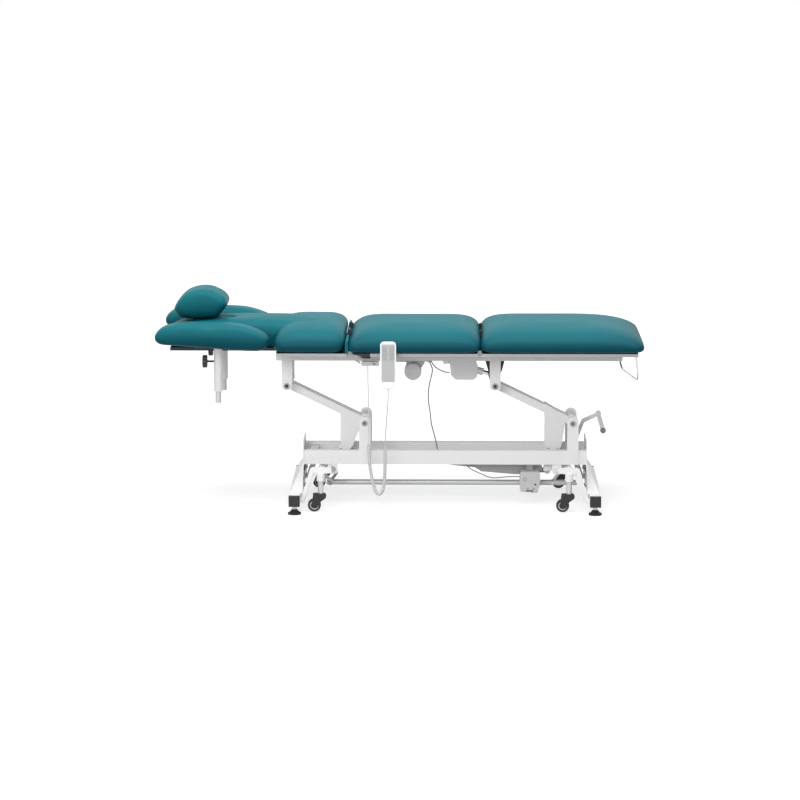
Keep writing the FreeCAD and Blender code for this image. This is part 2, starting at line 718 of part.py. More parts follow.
def seat_board():
    body = block(seat_x0 + 8, seat_x1 - 6, -board_half, board_half, board_z, board_z + board)
    cover = plate([(-188, board_z - 1), (-109, board_z - 1), (-111, 569), (-136, 570),
                   (-158, 574), (-176, 582)], -top_outer - 4, -top_outer - 0.2,
                  [2, 0, 2, 6, 6, 8])
    tab = block(-150, -112, -top_outer - 4, -top_outer - 0.2, board_z - 2, board_z + 2)
    return fuse([body] + both(fuse([cover, tab])))


def crowned_block(x0, x1, x1_fall):
    # A cushion that swells from its edges to its crown, and falls further at the far end.
    low = cushion_z0
    high = cushion_z1
    side = plate([(x0, low), (x0, high - 48), (x0 + 48, high - 12), (x0 + 150, high),
                  (x1 - 150, high), (x1 - 48, high - 12 - x1_fall), (x1, high - 48 - x1_fall),
                  (x1, low)], -cushion_half - 5, cushion_half + 5,
                 [12, 22, 90, 400, 300, 60, 18, 12])
    half = cushion_half
    end = panel([(-half, low), (-half, high - 58), (-half + 62, high - 19), (-110, high + 0.4),
                 (110, high + 0.4), (half - 62, high - 19), (half, high - 58), (half, low)],
                x0 - 5, x1 + 5, [12, 22, 90, 400, 400, 90, 22, 12])
    outline = slab([(x0, -half), (x1, -half), (x1, half), (x0, half)], low - 5, high + 5, 34)
    return side.common(end).common(outline)


def seat_cushion():
    return crowned_block(seat_x0, seat_x1, 0)


def back_frame():
    wide = block(back_step_x + 12, back_hinge_x - 6, -board_half, board_half, board_z,
                 board_z + board)
    narrow = block(head_x0 + 25, back_step_x + 13, -head_half + 12, head_half - 12, board_z,
                   board_z + board)
    breathing = bar_z(hole_x, 0, hole_radius + 4, board_z - 2, board_z + board + 2)
    ear = hinge_ear(back_hinge_x, -109, -104 - air, 9, back_hinge_x - 9, back_hinge_x + 9,
                    ear_z0)
    ear = ear.cut(bar_y(back_hinge_x, hinge_z, 4 + running, -120, -90))
    foot_pad = block(back_hinge_x - 40, back_hinge_x - 8, -109, -104 - air, board_z - 0.2,
                     board_z + board)
    out_x = back_pin_x + 6
    lever = plate([(-262, board_z + 2), (-214, board_z + 2), (-150, 572), (out_x + 12, 552),
                   (out_x + 8, 532), (out_x - 6, 530), (-172, 545), (-235, 572)],
                  -17, -13, [0, 0, 8, 8, 6, 6, 10, 10])
    dx = back_pin_x - back_hinge_x
    dz = back_pin_z - hinge_z
    length = math.hypot(dx, dz)
    dx /= length
    dz /= length
    half = 5 + 3.9
    ends = [(back_pin_x - dx * 11.8, back_pin_z - dz * 11.8),
            (back_pin_x + dx * 9.9, back_pin_z + dz * 9.9)]
    slot = [strip(ends[0], ends[1], half, -30, 30)]
    sleeve = bar_z(rest_stem_x, -rest_stem_y, sleeve_radius, sleeve_z0, 628)
    sleeve = sleeve.cut(bar_z(rest_stem_x, -rest_stem_y, stem_radius + running, 400, 640))
    screw_hole = bar_x(-rest_stem_y, knob_z, 4 + running, knob_x, rest_stem_x)
    sleeve = sleeve.cut(screw_hole)
    bracket = block(rest_stem_x - 16, rest_stem_x + 16, -rest_stem_y + sleeve_radius - 4,
                    -head_half + 20, board_z - 8, board_z + 1)
    bracket = bracket.cut(bar_z(rest_stem_x, -rest_stem_y, stem_radius + 1, 400, 640))
    shapes = [wide, narrow] + both(ear) + both(foot_pad) + both(lever) + both(sleeve)
    shapes += both(bracket)
    return cut(fuse(shapes), [breathing] + slot)


def back_cushion():
    body = soft_block([(head_x0, -head_half), (back_step_x, -head_half),
                       (back_step_x, -cushion_half), (back_x1, -cushion_half),
                       (back_x1, cushion_half), (back_step_x, cushion_half),
                       (back_step_x, head_half), (head_x0, head_half)],
                      cushion_z0, cushion_z1, [34, 20, 34, 34, 34, 34, 20, 34], 26, 12)
    return body.cut(bar_z(hole_x, 0, hole_radius, cushion_z0 - 5, cushion_z1 + 5))


def pillow():
    bottom = cushion_z1 + 0.3
    shape = plate([(-853, bottom + 22), (-812, bottom), (-678, bottom), (-652, bottom + 30),
                   (-660, bottom + 84), (-715, bottom + 122), (-795, bottom + 112),
                   (-846, bottom + 62)], -110, 110, [16, 20, 18, 16, 30, 50, 50, 30])
    ends = [e for e in shape.Edges if abs(e.BoundBox.YMax - e.BoundBox.YMin) < 1e-4]
    return shape.makeFillet(12, ends)


def armrest_pad():
    x = rest_tip_x
    z = cushion_z1
    outline = [(x - 5, z - 33), (x + 29, z - 59), (x + 54, z - 59), (x + 396, z - 73),
               (x + 437, z - 65), (x + 437, z - 25), (x + 381, z + 13), (x + 286, z + 25),
               (x + 56, z + 25), (x + 21, z + 1)]
    body = plate(outline, -rest_out, -rest_in, [18, 10, 0, 20, 24, 18, 60, 60, 40, 20])
    ends = [e for e in body.Edges if abs(e.BoundBox.YMax - e.BoundBox.YMin) < 1e-4]
    body = body.makeFillet(8, ends)
    return body.translated(Vec(rest_tip_x - body.optimalBoundingBox().XMin, 0, 0))


def armrest_stem():
    stem = bar_z(rest_stem_x, -rest_stem_y, stem_radius, stem_z0, 635.8)
    arm = block(rest_stem_x - 60, rest_stem_x + 60, -rest_in - 60, -rest_stem_y + 14, 632.6,
                635.8)
    return fuse([stem, arm])


def armrest_knob():
    disc = bar_x(-rest_stem_y, knob_z, knob_radius, knob_x - 9, knob_x + 9)
    disc = disc.makeFillet(3, [e for e in disc.Edges if e.Length > 100])
    for i in range(6):
        angle = math.radians(60 * i + 30)
        notch = bar_x(-rest_stem_y + (knob_radius + 4) * math.cos(angle),
                      knob_z + (knob_radius + 4) * math.sin(angle), 8, knob_x - 12, knob_x + 12)
        disc = disc.cut(notch)
    screw = bar_x(-rest_stem_y, knob_z, 4, knob_x + 8, rest_stem_x - stem_radius - air)
    return fuse([disc, screw])


def leg_board():
    body = block(leg_hinge_x + 3, leg_x1 - 25, -board_half, board_half, board_z, board_z + board)
    ear = hinge_ear(leg_hinge_x, -109, -104 - air, 6, leg_hinge_x - 6, leg_hinge_x + 6, ear_z0)
    ear = ear.cut(bar_y(leg_hinge_x, hinge_z, 2.5 + running, -120, -90))
    low_z = leg_pin_z - 16
    near = plate([(318, board_z + 2), (400, board_z + 2), (402, 560), (392, 520),
                  (375, low_z + 2), (352, low_z - 1), (340, low_z + 10), (338, 520),
                  (326, 560)], leg_drive_y - 20.3, leg_drive_y - 17.8,
                 [0, 0, 20, 20, 8, 8, 6, 10, 10])
    other = near.translated(Vec(0, 38.1, 0))
    dx = leg_pin_x - leg_hinge_x
    dz = leg_pin_z - hinge_z
    length = math.hypot(dx, dz)
    dx /= length
    dz /= length
    half = 5 + 1.9
    ends = [(leg_pin_x - dx * 0.8, leg_pin_z - dz * 0.8),
            (leg_pin_x + dx * 5.4, leg_pin_z + dz * 5.4)]
    slot = [strip(ends[0], ends[1], half, -100, -20)]
    return fuse([body] + both(ear) + [cut(near, slot), cut(other, slot)])


def leg_cushion():
    return crowned_block(leg_x0, leg_x1, 16)


def paper_holder():
    top = board_z - 0.7
    points = [(leg_x1 - 30, -175, top), (leg_x1 - 16, -175, 492), (leg_x1 - 68, 175, 492),
              (leg_x1 - 80, 175, top)]
    return cord(points, 4.0)


# Actuators

def lift_motor():
    dx = lift_pin_x - lift_tail_x
    dz = lift_pin_z - lift_tail_z
    length = math.hypot(dx, dz)
    lean = math.degrees(math.atan2(dz, -dx))
    axis = Vec(dx / length, 0, dz / length)
    start = Vec(lift_tail_x, 0, lift_tail_z)
    tube = Part.makeCylinder(17.5, 345, start.add(Vec(axis.x * 30, 0, axis.z * 30)), axis)
    bore = Part.makeCylinder(10 + running, 340, start.add(Vec(axis.x * 45, 0, axis.z * 45)), axis)
    case = plate([(282, 152), (282, 136), (314, 116), (444, 105), (520, 105), (549, 114),
                  (549, 136), (400, 158)], -20, 20, [4, 6, 10, 8, 10, 4, 4, 4])
    eye = bar_y(lift_tail_x, lift_tail_z, 12, -8, 8)
    neck = block(lift_tail_x - 36, lift_tail_x - 2, -8, 8, lift_tail_z - 8, lift_tail_z + 10)
    tail_bore = bar_y(lift_tail_x, lift_tail_z, 5 + running, -20, 20)
    return cut(fuse([tube, case, neck, eye]), [bore, tail_bore])


def lift_rod():
    dx = lift_pin_x - lift_tail_x
    dz = lift_pin_z - lift_tail_z
    length = math.hypot(dx, dz)
    axis = Vec(dx / length, 0, dz / length)
    start = Vec(lift_tail_x + axis.x * 150, 0, lift_tail_z + axis.z * 150)
    rod = Part.makeCylinder(10, length - 160, start, axis)
    eye = bar_y(lift_pin_x, lift_pin_z, 16, -13, 13)
    pin = bar_y(lift_pin_x, lift_pin_z, lift_pin_radius, -arm_half_width - 1.5,
                arm_half_width + 1.5)
    return fuse([rod, eye, pin])


def back_motor():
    tube = bar_x(0, back_tail_z, 10.5, -50, 62)
    bore = bar_x(0, back_tail_z, 7 + running, -60, 90)
    case = plate([(24, 562), (96, 562), (96, 540), (84, 520), (24, 520)], -18, 18,
                 [6, 6, 6, 8, 6])
    drum = bar_y(50, 508, 33, -45, 24)
    drum = drum.makeFillet(3, [e for e in drum.Edges if e.Length > 100])
    ring = bar_y(50, 508, 27, -46, -44).cut(bar_y(50, 508, 21, -47, -43))
    eye = bar_y(back_tail_x, back_tail_z, 10, -6.6, 6.6)
    neck = block(88, back_tail_x, -6.6, 6.6, back_tail_z - 7, back_tail_z + 7)
    tail_bore = bar_y(back_tail_x, back_tail_z, 5 + running, -20, 20)
    return cut(fuse([tube, case, drum, ring, eye, neck]), [bore, tail_bore])


def back_rod():
    rod = bar_x(0, back_tail_z, 7, back_pin_x, 84)
    eye = bar_y(back_pin_x, back_pin_z, 10, -10, 10)
    pin = bar_y(back_pin_x, back_pin_z, 5, -18.5, 18.5)
    return fuse([rod, eye, pin])


def leg_axis():
    dx = leg_pin_x - leg_tail_x
    dz = leg_pin_z - leg_tail_z
    length = math.hypot(dx, dz)
    return Vec(dx / length, 0, dz / length), length


def leg_motor():
    axis, length = leg_axis()
    tail = Vec(leg_tail_x, leg_drive_y, leg_tail_z)
    tube = Part.makeCylinder(14, 128, tail.add(Vec(axis.x * 22, 0, axis.z * 22)), axis)
    bore = Part.makeCylinder(8 + running, 126, tail.add(Vec(axis.x * 26, 0, axis.z * 26)), axis)
    y0 = leg_drive_y - 16.5
    y1 = leg_drive_y + 16.5
    case = plate([(191, 556), (290, 556), (300, 530), (296, 492), (282, 482), (214, 482),
                  (196, 500)], y0, y1, [6, 10, 10, 8, 8, 12, 12])
    eye = bar_y(leg_tail_x, leg_tail_z, 10, leg_drive_y - 7.5, leg_drive_y + 7.5)
    neck = block(leg_tail_x, leg_tail_x + 25, leg_drive_y - 7.5, leg_drive_y + 7.5, leg_tail_z - 9,
                 leg_tail_z + 2)
    tail_bore = bar_y(leg_tail_x, leg_tail_z, 5 + running, y0 - 5, y1 + 5)
    return cut(fuse([tube, case, eye, neck]), [bore, tail_bore])


def leg_rod():
    axis, length = leg_axis()
    tail = Vec(leg_tail_x, leg_drive_y, leg_tail_z)
    rod = Part.makeCylinder(8, length - 34, tail.add(Vec(axis.x * 30, 0, axis.z * 30)), axis)
    eye = bar_y(leg_pin_x, leg_pin_z, 11, leg_drive_y - 9, leg_drive_y + 9)
    pin = bar_y(leg_pin_x, leg_pin_z, 5, leg_drive_y - 19.8, leg_drive_y + 19.8)
    return fuse([rod, eye, pin])


# Handset and cables

button_rows = 3
button_pitch_x = 28.0
button_pitch_z = 18.0
button_width = 17.0
button_height = 11.0
button_top_z = 640.0
pocket_back = handset_face + 5.0


def button_places():
    places = []
    for row in range(button_rows):
        for side in (-1, 1):
            places.append((handset_x + side * button_pitch_x / 2,
                           button_top_z - row * button_pitch_z))
    return places


def handset_case():
    half = handset_width / 2
    body = plate([(handset_x - half, handset_z1), (handset_x + half, handset_z1),
                  (handset_x + half, 545), (handset_x + 20, handset_z0),
                  (handset_x - 20, handset_z0), (handset_x - half, 545)],
                 handset_face, handset_back, [14, 14, 30, 8, 8, 30])
    front = [e for e in body.Edges if e.BoundBox.YMax < handset_face + 0.01]
    body = body.makeFillet(3.0, front)
    relief = Part.makeCone(6.5, 3.5, 24, Vec(handset_x, (handset_face + handset_back) / 2, handset_z0 + 1), Vec(0, 0, -1))
    tools = []
    for x, z in button_places():
        tools.append(block(x - button_width / 2 - air, x + button_width / 2 + air,
                           handset_face - 5, pocket_back, z - button_height / 2 - air,
                           z + button_height / 2 + air))
    return cut(fuse([body, relief]), tools)


def handset_button(x, z):
    body = block(x - button_width / 2, x + button_width / 2, handset_face - 2.0,
                 pocket_back - 1.6, z - button_height / 2, z + button_height / 2)
    upright = [e for e in body.Edges if e.BoundBox.YMax - e.BoundBox.YMin > 1]
    return body.makeFillet(2.0, upright)


lead_upper_points = [(-121, -119, 541.6), (-121, -124, 488), (-119, -140, 430), (-118, -156, 372),
                     (-117.5, -170, 312), (-117, -180, 254)]
lead_curl_points = [(-117, -180, 254), (-116, -181, 205), (-112, -182, 158), (-104, -182, 112),
                    (-95, -182, 74), (-78, -182, 49), (-61, -184, 74), (-56, -188, 118),
                    (-54.5, -194, 170), (-54, -205, 238)]
lead_lower_points = [(-54, -205, 238), (-52, -224, 290), (-48, -252, 344), (-44, -286, 394),
                     (-41, -314, 430), (-40, -325, 461)]
lift_cable_points = [(112, -60, 579.7), (112, -60, 549), (129, -60, 520), (112, -60, 462),
                     (108, -60, 404), (117, -60, 354), (121, -60, 304), (138, -60, 250),
                     (146, -60, 205)]
leg_cable_points = [(118, -48, 579.2), (117, -52, 552), (136, -58, 528), (160, -60, 514),
                    (183, -60, 507), (192, -60, 509)]
box_cable_points = [(251, -30, 152), (262, -30, 132), (305, -32, 112), (352, -36, 92),
                    (395, -42, 97), (430, -50, 102), (460.6, -60, 103)]

save("base_rails", base_rails())
save("post_plates", post_plates())
save("head_leg", head_leg())
save("foot_leg", foot_end(head_leg()))
save("foot_caps", foot_caps())
save("control_box", control_box())
save("head_arm", head_arm())
save("foot_arm", foot_arm())
save("top_rails", top_rails())
save("hanger_plates", hanger_plates())
save("seat_board", seat_board())
save("seat_cushion", seat_cushion())
save("back_frame", back_frame())
save("back_cushion", back_cushion())
save("pillow", pillow())
save("leg_board", leg_board())
save("leg_cushion", leg_cushion())
save("paper_holder", paper_holder())
save("lift_motor", lift_motor())
save("lift_rod", lift_rod())
save("back_motor", back_motor())
save("back_rod", back_rod())
save("leg_motor", leg_motor())
save("leg_rod", leg_rod())
save("head_castor_frame", head_castor_frame())
save("foot_castor_frame", foot_castor_frame())
save("head_cam_shaft", head_cam_shaft())
save("pedal", pedal())
save("link_rod", link_rod())
save("handset_case", handset_case())
for number, (x, z) in enumerate(button_places()):
    save("handset_button_" + str(number + 1), handset_button(x, z))
save("lead_upper", cord(lead_upper_points, 2.5))
save("lead_curl", cord(lead_curl_points, 7.0))
save("lead_lower", cord(lead_lower_points, 2.5))
save("lift_cable", cord(lift_cable_points, 2.5))
save("leg_cable", cord(leg_cable_points, 2.5))
save("box_cable", cord(box_cable_points, 2.0))
save("armrest_stem_near", armrest_stem())
save("armrest_stem_far", far(armrest_stem()))
save("armrest_pad_near", armrest_pad())
save("armrest_pad_far", far(armrest_pad()))
save("armrest_knob_near", armrest_knob())
save("armrest_knob_far", far(armrest_knob()))
corners = [("head_near", castor_stem_x, -1), ("head_far", castor_stem_x, 1),
           ("foot_near", at_foot(castor_stem_x), -1), ("foot_far", at_foot(castor_stem_x), 1)]
for name, stem_x, side in corners:
    save("castor_fork_" + name, castor_fork(stem_x, side * castor_y))
    save("castor_wheel_" + name, castor_wheel(stem_x, side * castor_y))
    tube_x = foot_tube_x if stem_x < 0 else at_foot(foot_tube_x)
    save("levelling_foot_" + name, levelling_foot(tube_x, side * foot_y))
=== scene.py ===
# %% [markdown]
# # An electric massage table, dressed in Blender
# The CAD model gives every rigid part its size and place. This lesson loads it as a fixed
# frame, then adds what CAD leaves plain: stuffed vinyl cushions, limp cables and the
# finishes. Lengths are in metres, X runs from the head end to the foot end and Z is up.

# %% Load the frame
import json
import math

import bmesh
import bpy
import numpy as np
from mathutils import Matrix, Vector

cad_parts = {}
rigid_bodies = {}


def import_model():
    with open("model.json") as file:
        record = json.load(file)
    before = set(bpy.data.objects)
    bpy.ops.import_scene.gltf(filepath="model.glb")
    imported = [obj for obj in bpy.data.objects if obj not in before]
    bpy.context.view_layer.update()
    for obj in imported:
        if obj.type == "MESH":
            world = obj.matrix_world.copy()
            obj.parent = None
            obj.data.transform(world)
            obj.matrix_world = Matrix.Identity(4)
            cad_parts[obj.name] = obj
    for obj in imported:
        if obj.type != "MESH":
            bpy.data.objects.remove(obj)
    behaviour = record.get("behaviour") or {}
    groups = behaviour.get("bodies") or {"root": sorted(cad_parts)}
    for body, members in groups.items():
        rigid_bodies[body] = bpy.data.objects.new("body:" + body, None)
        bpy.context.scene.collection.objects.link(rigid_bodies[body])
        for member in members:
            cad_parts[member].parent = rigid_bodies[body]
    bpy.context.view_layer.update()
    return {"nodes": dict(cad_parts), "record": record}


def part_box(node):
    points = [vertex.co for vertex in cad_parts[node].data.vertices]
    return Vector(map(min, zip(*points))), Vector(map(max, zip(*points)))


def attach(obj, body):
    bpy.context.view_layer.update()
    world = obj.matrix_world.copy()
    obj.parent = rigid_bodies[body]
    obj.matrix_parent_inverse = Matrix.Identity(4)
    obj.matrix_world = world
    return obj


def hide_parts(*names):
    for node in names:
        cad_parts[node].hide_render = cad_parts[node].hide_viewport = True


for leftover in list(bpy.data.objects):
    bpy.data.objects.remove(leftover)
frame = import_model()
nodes = frame["nodes"]

# %% [markdown]
# ## Two small helpers
# Blender keeps an object apart from the mesh or curve that it shows. The first helper puts
# a new object into the scene, and the second turns a mesh under construction into an object.

# %% Helpers for new objects
def linked(piece):
    bpy.context.scene.collection.objects.link(piece)
    return piece


def formed(name, mesh):
    data = bpy.data.meshes.new(name)
    mesh.to_mesh(data)
    mesh.free()
    return bpy.data.objects.new(name, data)

# %% [markdown]
# ## The camera
# The picture is taken from far away with a long lens, a little to the right of square on
# and nine degrees above the table's middle, so that the tops of the cushions just show.

# %% Camera
view_turn, view_rise, view_distance = math.radians(0.8), math.radians(9.0), 13.0
aim = Vector((0.0, 0.0, 0.39114))
toward = Vector((math.sin(view_turn) * math.cos(view_rise),
                 -math.cos(view_turn) * math.cos(view_rise), math.sin(view_rise)))
lens_data = bpy.data.cameras.new("camera")
lens_data.lens = 151.67
lens_data.sensor_width = 36.0
lens_data.clip_start, lens_data.clip_end = 0.1, 80.0
camera = linked(bpy.data.objects.new("camera", lens_data))
camera.location = aim + toward * view_distance
camera.rotation_euler = (-toward).to_track_quat("-Z", "Y").to_euler()
bpy.context.scene.camera = camera
bpy.context.scene.view_settings.view_transform = "Standard"
print("camera at", [round(c, 3) for c in camera.location], "lens", lens_data.lens, "mm")

# %% [markdown]
# ## The cables
# A cable is a NURBS curve whose control points are the route that CAD used. The curve cuts
# the route's corners, as a sheath under its own weight does. A curve could also be read as
# a mesh tube from the start, but a curve keeps its route, so its length can be measured.

# %% A helper that makes a cable
point_radius = 0.01  # It scales the bevel and widens the curve's box, so it is kept small.


def cable_curve(name, points, radius, smooth=6):
    data = bpy.data.curves.new(name, "CURVE")
    data.dimensions = "3D"
    data.bevel_depth = radius / point_radius
    data.bevel_resolution = 3
    data.use_fill_caps = True
    line = data.splines.new("NURBS")
    line.points.add(len(points) - 1)
    for place, point in zip(line.points, points):
        place.co = (*point, 1.0)
        place.radius = point_radius
    line.order_u = 3
    line.use_endpoint_u = True
    line.resolution_u = smooth
    return bpy.data.objects.new(name, data)


def millimetres(points):
    return [(x / 1000, y / 1000, z / 1000) for x, y, z in points]

# %% [markdown]
# ### How long a cable is
# The length is that of the curve's own line. Without its bevel, a curve turns into a bare
# string of points, whose steps add up to the length of the sheath.

# %% Measuring a cable
def curve_line(curve):
    """The curve's own line as points, read from its mesh with no bevel."""
    depth = curve.data.bevel_depth
    curve.data.bevel_depth = 0.0
    curve.data.use_fill_caps = False
    mesh = bpy.data.meshes.new_from_object(curve)
    line = np.array([v.co[:] for v in mesh.vertices])
    bpy.data.meshes.remove(mesh)
    curve.data.bevel_depth = depth
    curve.data.use_fill_caps = True
    return line


def line_length(line):
    return float(np.linalg.norm(np.diff(line, axis=0), axis=1).sum())

# %% [markdown]
# ### The curly part of the lead
# A curly lead is a helix wound round a route. Each point steps a little along the route and
# a little round it, and the helix swells from the route over its first and last two turns,
# so that the straight ends run into it.

# %% Winding a helix round a line
turn_steps = 12
look_ahead = 0.002


def wound(line, radius, pitch):
    along = np.concatenate([[0], np.cumsum(np.linalg.norm(np.diff(line, axis=0), axis=1))])
    count = int(along[-1] / pitch) * turn_steps
    side = Vector((0, 1, 0))
    points = []
    for i in range(count + 1):
        s = along[-1] * i / count
        centre = Vector([np.interp(s, along, line[:, k]) for k in range(3)])
        ahead = Vector([np.interp(min(s + look_ahead, along[-1]), along, line[:, k]) -
                        np.interp(max(s - look_ahead, 0), along, line[:, k])
                        for k in range(3)])
        ahead.normalize()
        side = (side - ahead * side.dot(ahead)).normalized()
        other = ahead.cross(side)
        swell = min(1.0, i / (2 * turn_steps), (count - i) / (2 * turn_steps))
        turn = 2 * math.pi * i / turn_steps
        points.append(centre + (side * math.cos(turn) + other * math.sin(turn)) * radius * swell)
    return points

# %% [markdown]
# ### The handset's lead
# The lead leaves a bar under the seat, hangs as a straight sheath, turns into a curly
# length that swings through a U, and rises straight again to the handset. All of it is one
# spline, so that no joint shows where straight turns into curly.

# %% The handset's lead
lead_upper_route = millimetres([(-121, -119, 542), (-121, -124, 488), (-119, -140, 430),
                                (-118, -156, 372), (-117.5, -170, 312), (-117, -180, 254)])
lead_curl_route = millimetres([(-117, -180, 254), (-116, -181, 205), (-112, -182, 158),
                               (-104, -182, 112), (-95, -182, 74), (-78, -182, 49),
                               (-61, -184, 74), (-56, -188, 118), (-54.5, -194, 170),
                               (-54, -205, 238)])
lead_lower_route = millimetres([(-54, -205, 238), (-52, -224, 290), (-48, -252, 344),
                                (-44, -286, 394), (-41, -314, 430), (-40, -325, 461)])
lead_radius = 0.0021
coil_radius = 0.0049
coil_pitch = 0.0046

curl_guide = cable_curve("curl_guide", lead_curl_route, lead_radius, smooth=24)
helix = wound(curve_line(curl_guide), coil_radius, coil_pitch)
bpy.data.objects.remove(curl_guide)
lead_points = lead_upper_route[:-1] + [tuple(p) for p in helix] + lead_lower_route[1:]
lead = linked(cable_curve("handset_lead", lead_points, lead_radius, smooth=4))
lead.data.bevel_resolution = 2
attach(lead, "top_frame")
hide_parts("lead_upper", "lead_curl", "lead_lower")
lead_length = line_length(curve_line(lead))
print("handset lead is", round(lead_length, 3), "m of sheath with",
      len(helix) // turn_steps, "turns")

# %% [markdown]
# ### The three fixed cables
# One drops from the seat frame to the lift motor, one feeds the leg actuator and one joins
# the control box to the mains side of the base. They are stiffer than the lead, and their
# routes hang in wide bends.

# %% Fixed cables
fixed_cables = {
    "lift_cable": ("top_frame", 0.0025, [(112, -60, 579.7), (112, -60, 549), (129, -60, 520),
                   (112, -60, 462), (108, -60, 404), (117, -60, 354), (121, -60, 304),
                   (138, -60, 250), (146, -60, 205)]),
    "leg_cable": ("top_frame", 0.0025, [(118, -48, 579.7), (117, -52, 552), (136, -58, 528),
                  (160, -60, 514), (183, -60, 507), (192, -60, 509)]),
    "box_cable": ("base", 0.002, [(251, -30, 152), (262, -30, 132), (305, -32, 112),
                  (352, -36, 92), (395, -42, 97), (430, -50, 102), (462, -60, 103)]),
}
cables = [lead]
for node, (body, radius, route) in fixed_cables.items():
    cable = linked(cable_curve(node + "_sheath", millimetres(route), radius, smooth=12))
    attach(cable, body)
    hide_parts(node)
    length = line_length(curve_line(cable))
    cables.append(cable)
    print(node, "is", round(length, 3), "m long")

# %% [markdown]
# ## Shader maths
# Materials are easiest to read as sums. This class wraps one output of a shader node, so
# that adding or multiplying two of them adds the Math node that does it. Its method node
# makes every other kind of node.

# %% A socket that can be added and multiplied
class Value:
    def __init__(self, tree, socket=None):
        self.tree = tree
        self.socket = socket

    def node(self, kind, settings=None, sockets=None, out=0):
        made = self.tree.nodes.new("ShaderNode" + kind)
        for name, value in (settings or {}).items():
            setattr(made, name, value)
        for key, value in (sockets or {}).items():
            if isinstance(value, Value):
                self.tree.links.new(value.socket, made.inputs[key])
            else:
                made.inputs[key].default_value = value
        return Value(self.tree, made.outputs[out])

    def maths(self, operation, *values):
        return self.node("Math", {"operation": operation}, dict(enumerate(values)))

    def __add__(self, other):
        return self.maths("ADD", self, other)

    __radd__ = __add__

    def __sub__(self, other):
        return self.maths("SUBTRACT", self, other)

    def __rsub__(self, other):
        return self.maths("SUBTRACT", other, self)

    def __mul__(self, other):
        return self.maths("MULTIPLY", self, other)

    __rmul__ = __mul__

    def size(self):
        return self.maths("ABSOLUTE", self)

    def root(self):
        return self.maths("SQRT", self)

    def capped(self, most=1.0):
        return self.maths("MINIMUM", self, most)

    def step(self, edge, soft, before, after):
        """Goes from before to after within soft of the edge."""
        return self.node("MapRange", {"interpolation_type": "SMOOTHSTEP"},
                         {0: self, 1: edge - soft, 2: edge + soft, 3: before, 4: after})

    def over(self, edge, soft=0.0004):
        return self.step(edge, soft, 0.0, 1.0)

    def under(self, edge, soft=0.0004):
        return self.step(edge, soft, 1.0, 0.0)

    def between(self, low, high, soft=0.0004):
        return self.over(low, soft) * self.under(high, soft)


def distance(across, up):
    return (across * across + up * up).root()

# %% [markdown]
# ### Colours
# A colour is written as it looks on a screen, because it can then be compared with a
# picture. The shader wants linear light, so it is turned into that once, here. A mask mixes
# two colours in a Mix node, since a Math node would make them grey.

# %% Colours
def colour(red, green, blue):
    """A colour given as it looks on a screen, from 0 to 255."""
    return tuple(((c / 255 + 0.055) / 1.055) ** 2.4 if c > 10 else c / 3294.6
                 for c in (red, green, blue)) + (1.0,)


def grey(level):
    """A grey given as linear light."""
    return (level, level, level, 1.0)


def mixed(mask, first, second):
    """The first colour where the mask is 0, and the second where it is 1."""
    return mask.node("Mix", {"data_type": "RGBA"}, {0: mask, 6: first, 7: second}, out=2)

# %% [markdown]
# ### A finish
# A finish is a material with its shader at hand. It knows its own place in metres, so a
# mask such as z over 0.6 picks a region by the real part's sizes, and it offers noise and
# pores for what varies over a surface.

# %% A finish
class Finish:
    sockets = {"base": "Base Color", "rough": "Roughness", "metal": "Metallic",
               "shine": "Specular IOR Level", "normal": "Normal",
               "glow": "Emission Color", "glow_strength": "Emission Strength"}

    def __init__(self, name):
        self.material = bpy.data.materials.new(name)
        self.material.use_nodes = True
        self.tree = self.material.node_tree
        self.shader = self.tree.nodes["Principled BSDF"]
        self.place = Value(self.tree).node("TexCoord", out=3)
        outs = self.place.node("SeparateXYZ", sockets={0: self.place}).socket.node.outputs
        self.x, self.y, self.z = [Value(self.tree, outs[i]) for i in range(3)]
        print("finish:", name)

    def noise(self, scale, detail=2.0):
        return self.place.node("TexNoise", sockets={"Vector": self.place, "Scale": scale,
                                                    "Detail": detail})

    def pores(self, scale):
        return self.place.node("TexVoronoi", sockets={"Vector": self.place, "Scale": scale})

    def feed(self, **inputs):
        for key, value in inputs.items():
            socket = self.shader.inputs[self.sockets[key]]
            if isinstance(value, Value):
                self.tree.links.new(value.socket, socket)
            else:
                socket.default_value = value
        return self

    def bump(self, height, depth, strength):
        raised = height.node("Bump", sockets={"Strength": strength, "Distance": depth,
                                              "Height": height})
        return self.feed(normal=raised)

# %% [markdown]
# ## White powder coat
# The frame is steel under white powder coat: satin, with a faint orange peel and a tone
# that drifts a little from one tube to the next. Most pieces of the frame share it and add
# a few marks, so it is a function that takes the colours.

# %% Powder coat
coat_white = colour(243, 242, 242)
coat_shine = 0.45


def tinted(finish, base, drift=0.02, scale=9.0):
    """A colour that drifts a few percent over the surface."""
    low = tuple(c * (1 - drift) for c in base[:3]) + (1.0,)
    high = tuple(min(1.0, c * (1 + drift)) for c in base[:3]) + (1.0,)
    return mixed(finish.noise(scale, 3.0), low, high)


def satin(finish):
    return finish.noise(60) * 0.10 + 0.33


def powder_coated(finish, base, rough, metal=0.0, shine=coat_shine):
    finish.feed(base=base, rough=rough, metal=metal, shine=shine)
    return finish.bump(finish.noise(620, 1.0), 0.00006, 0.5)


powder = Finish("white_powder_coat")
powder_coated(powder, tinted(powder, coat_white), satin(powder))

# %% [markdown]
# ### Pivot bolts
# The posts and hangers carry a socket screw at each pivot. Its head is a steel disc with a
# hexagon socket in the middle, whose shade is painted as a darker round spot.

# %% Posts and hangers
screw_head, screw_socket = 0.0118, 0.0066
plate_face = -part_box("post_plates")[0].y - 0.0057


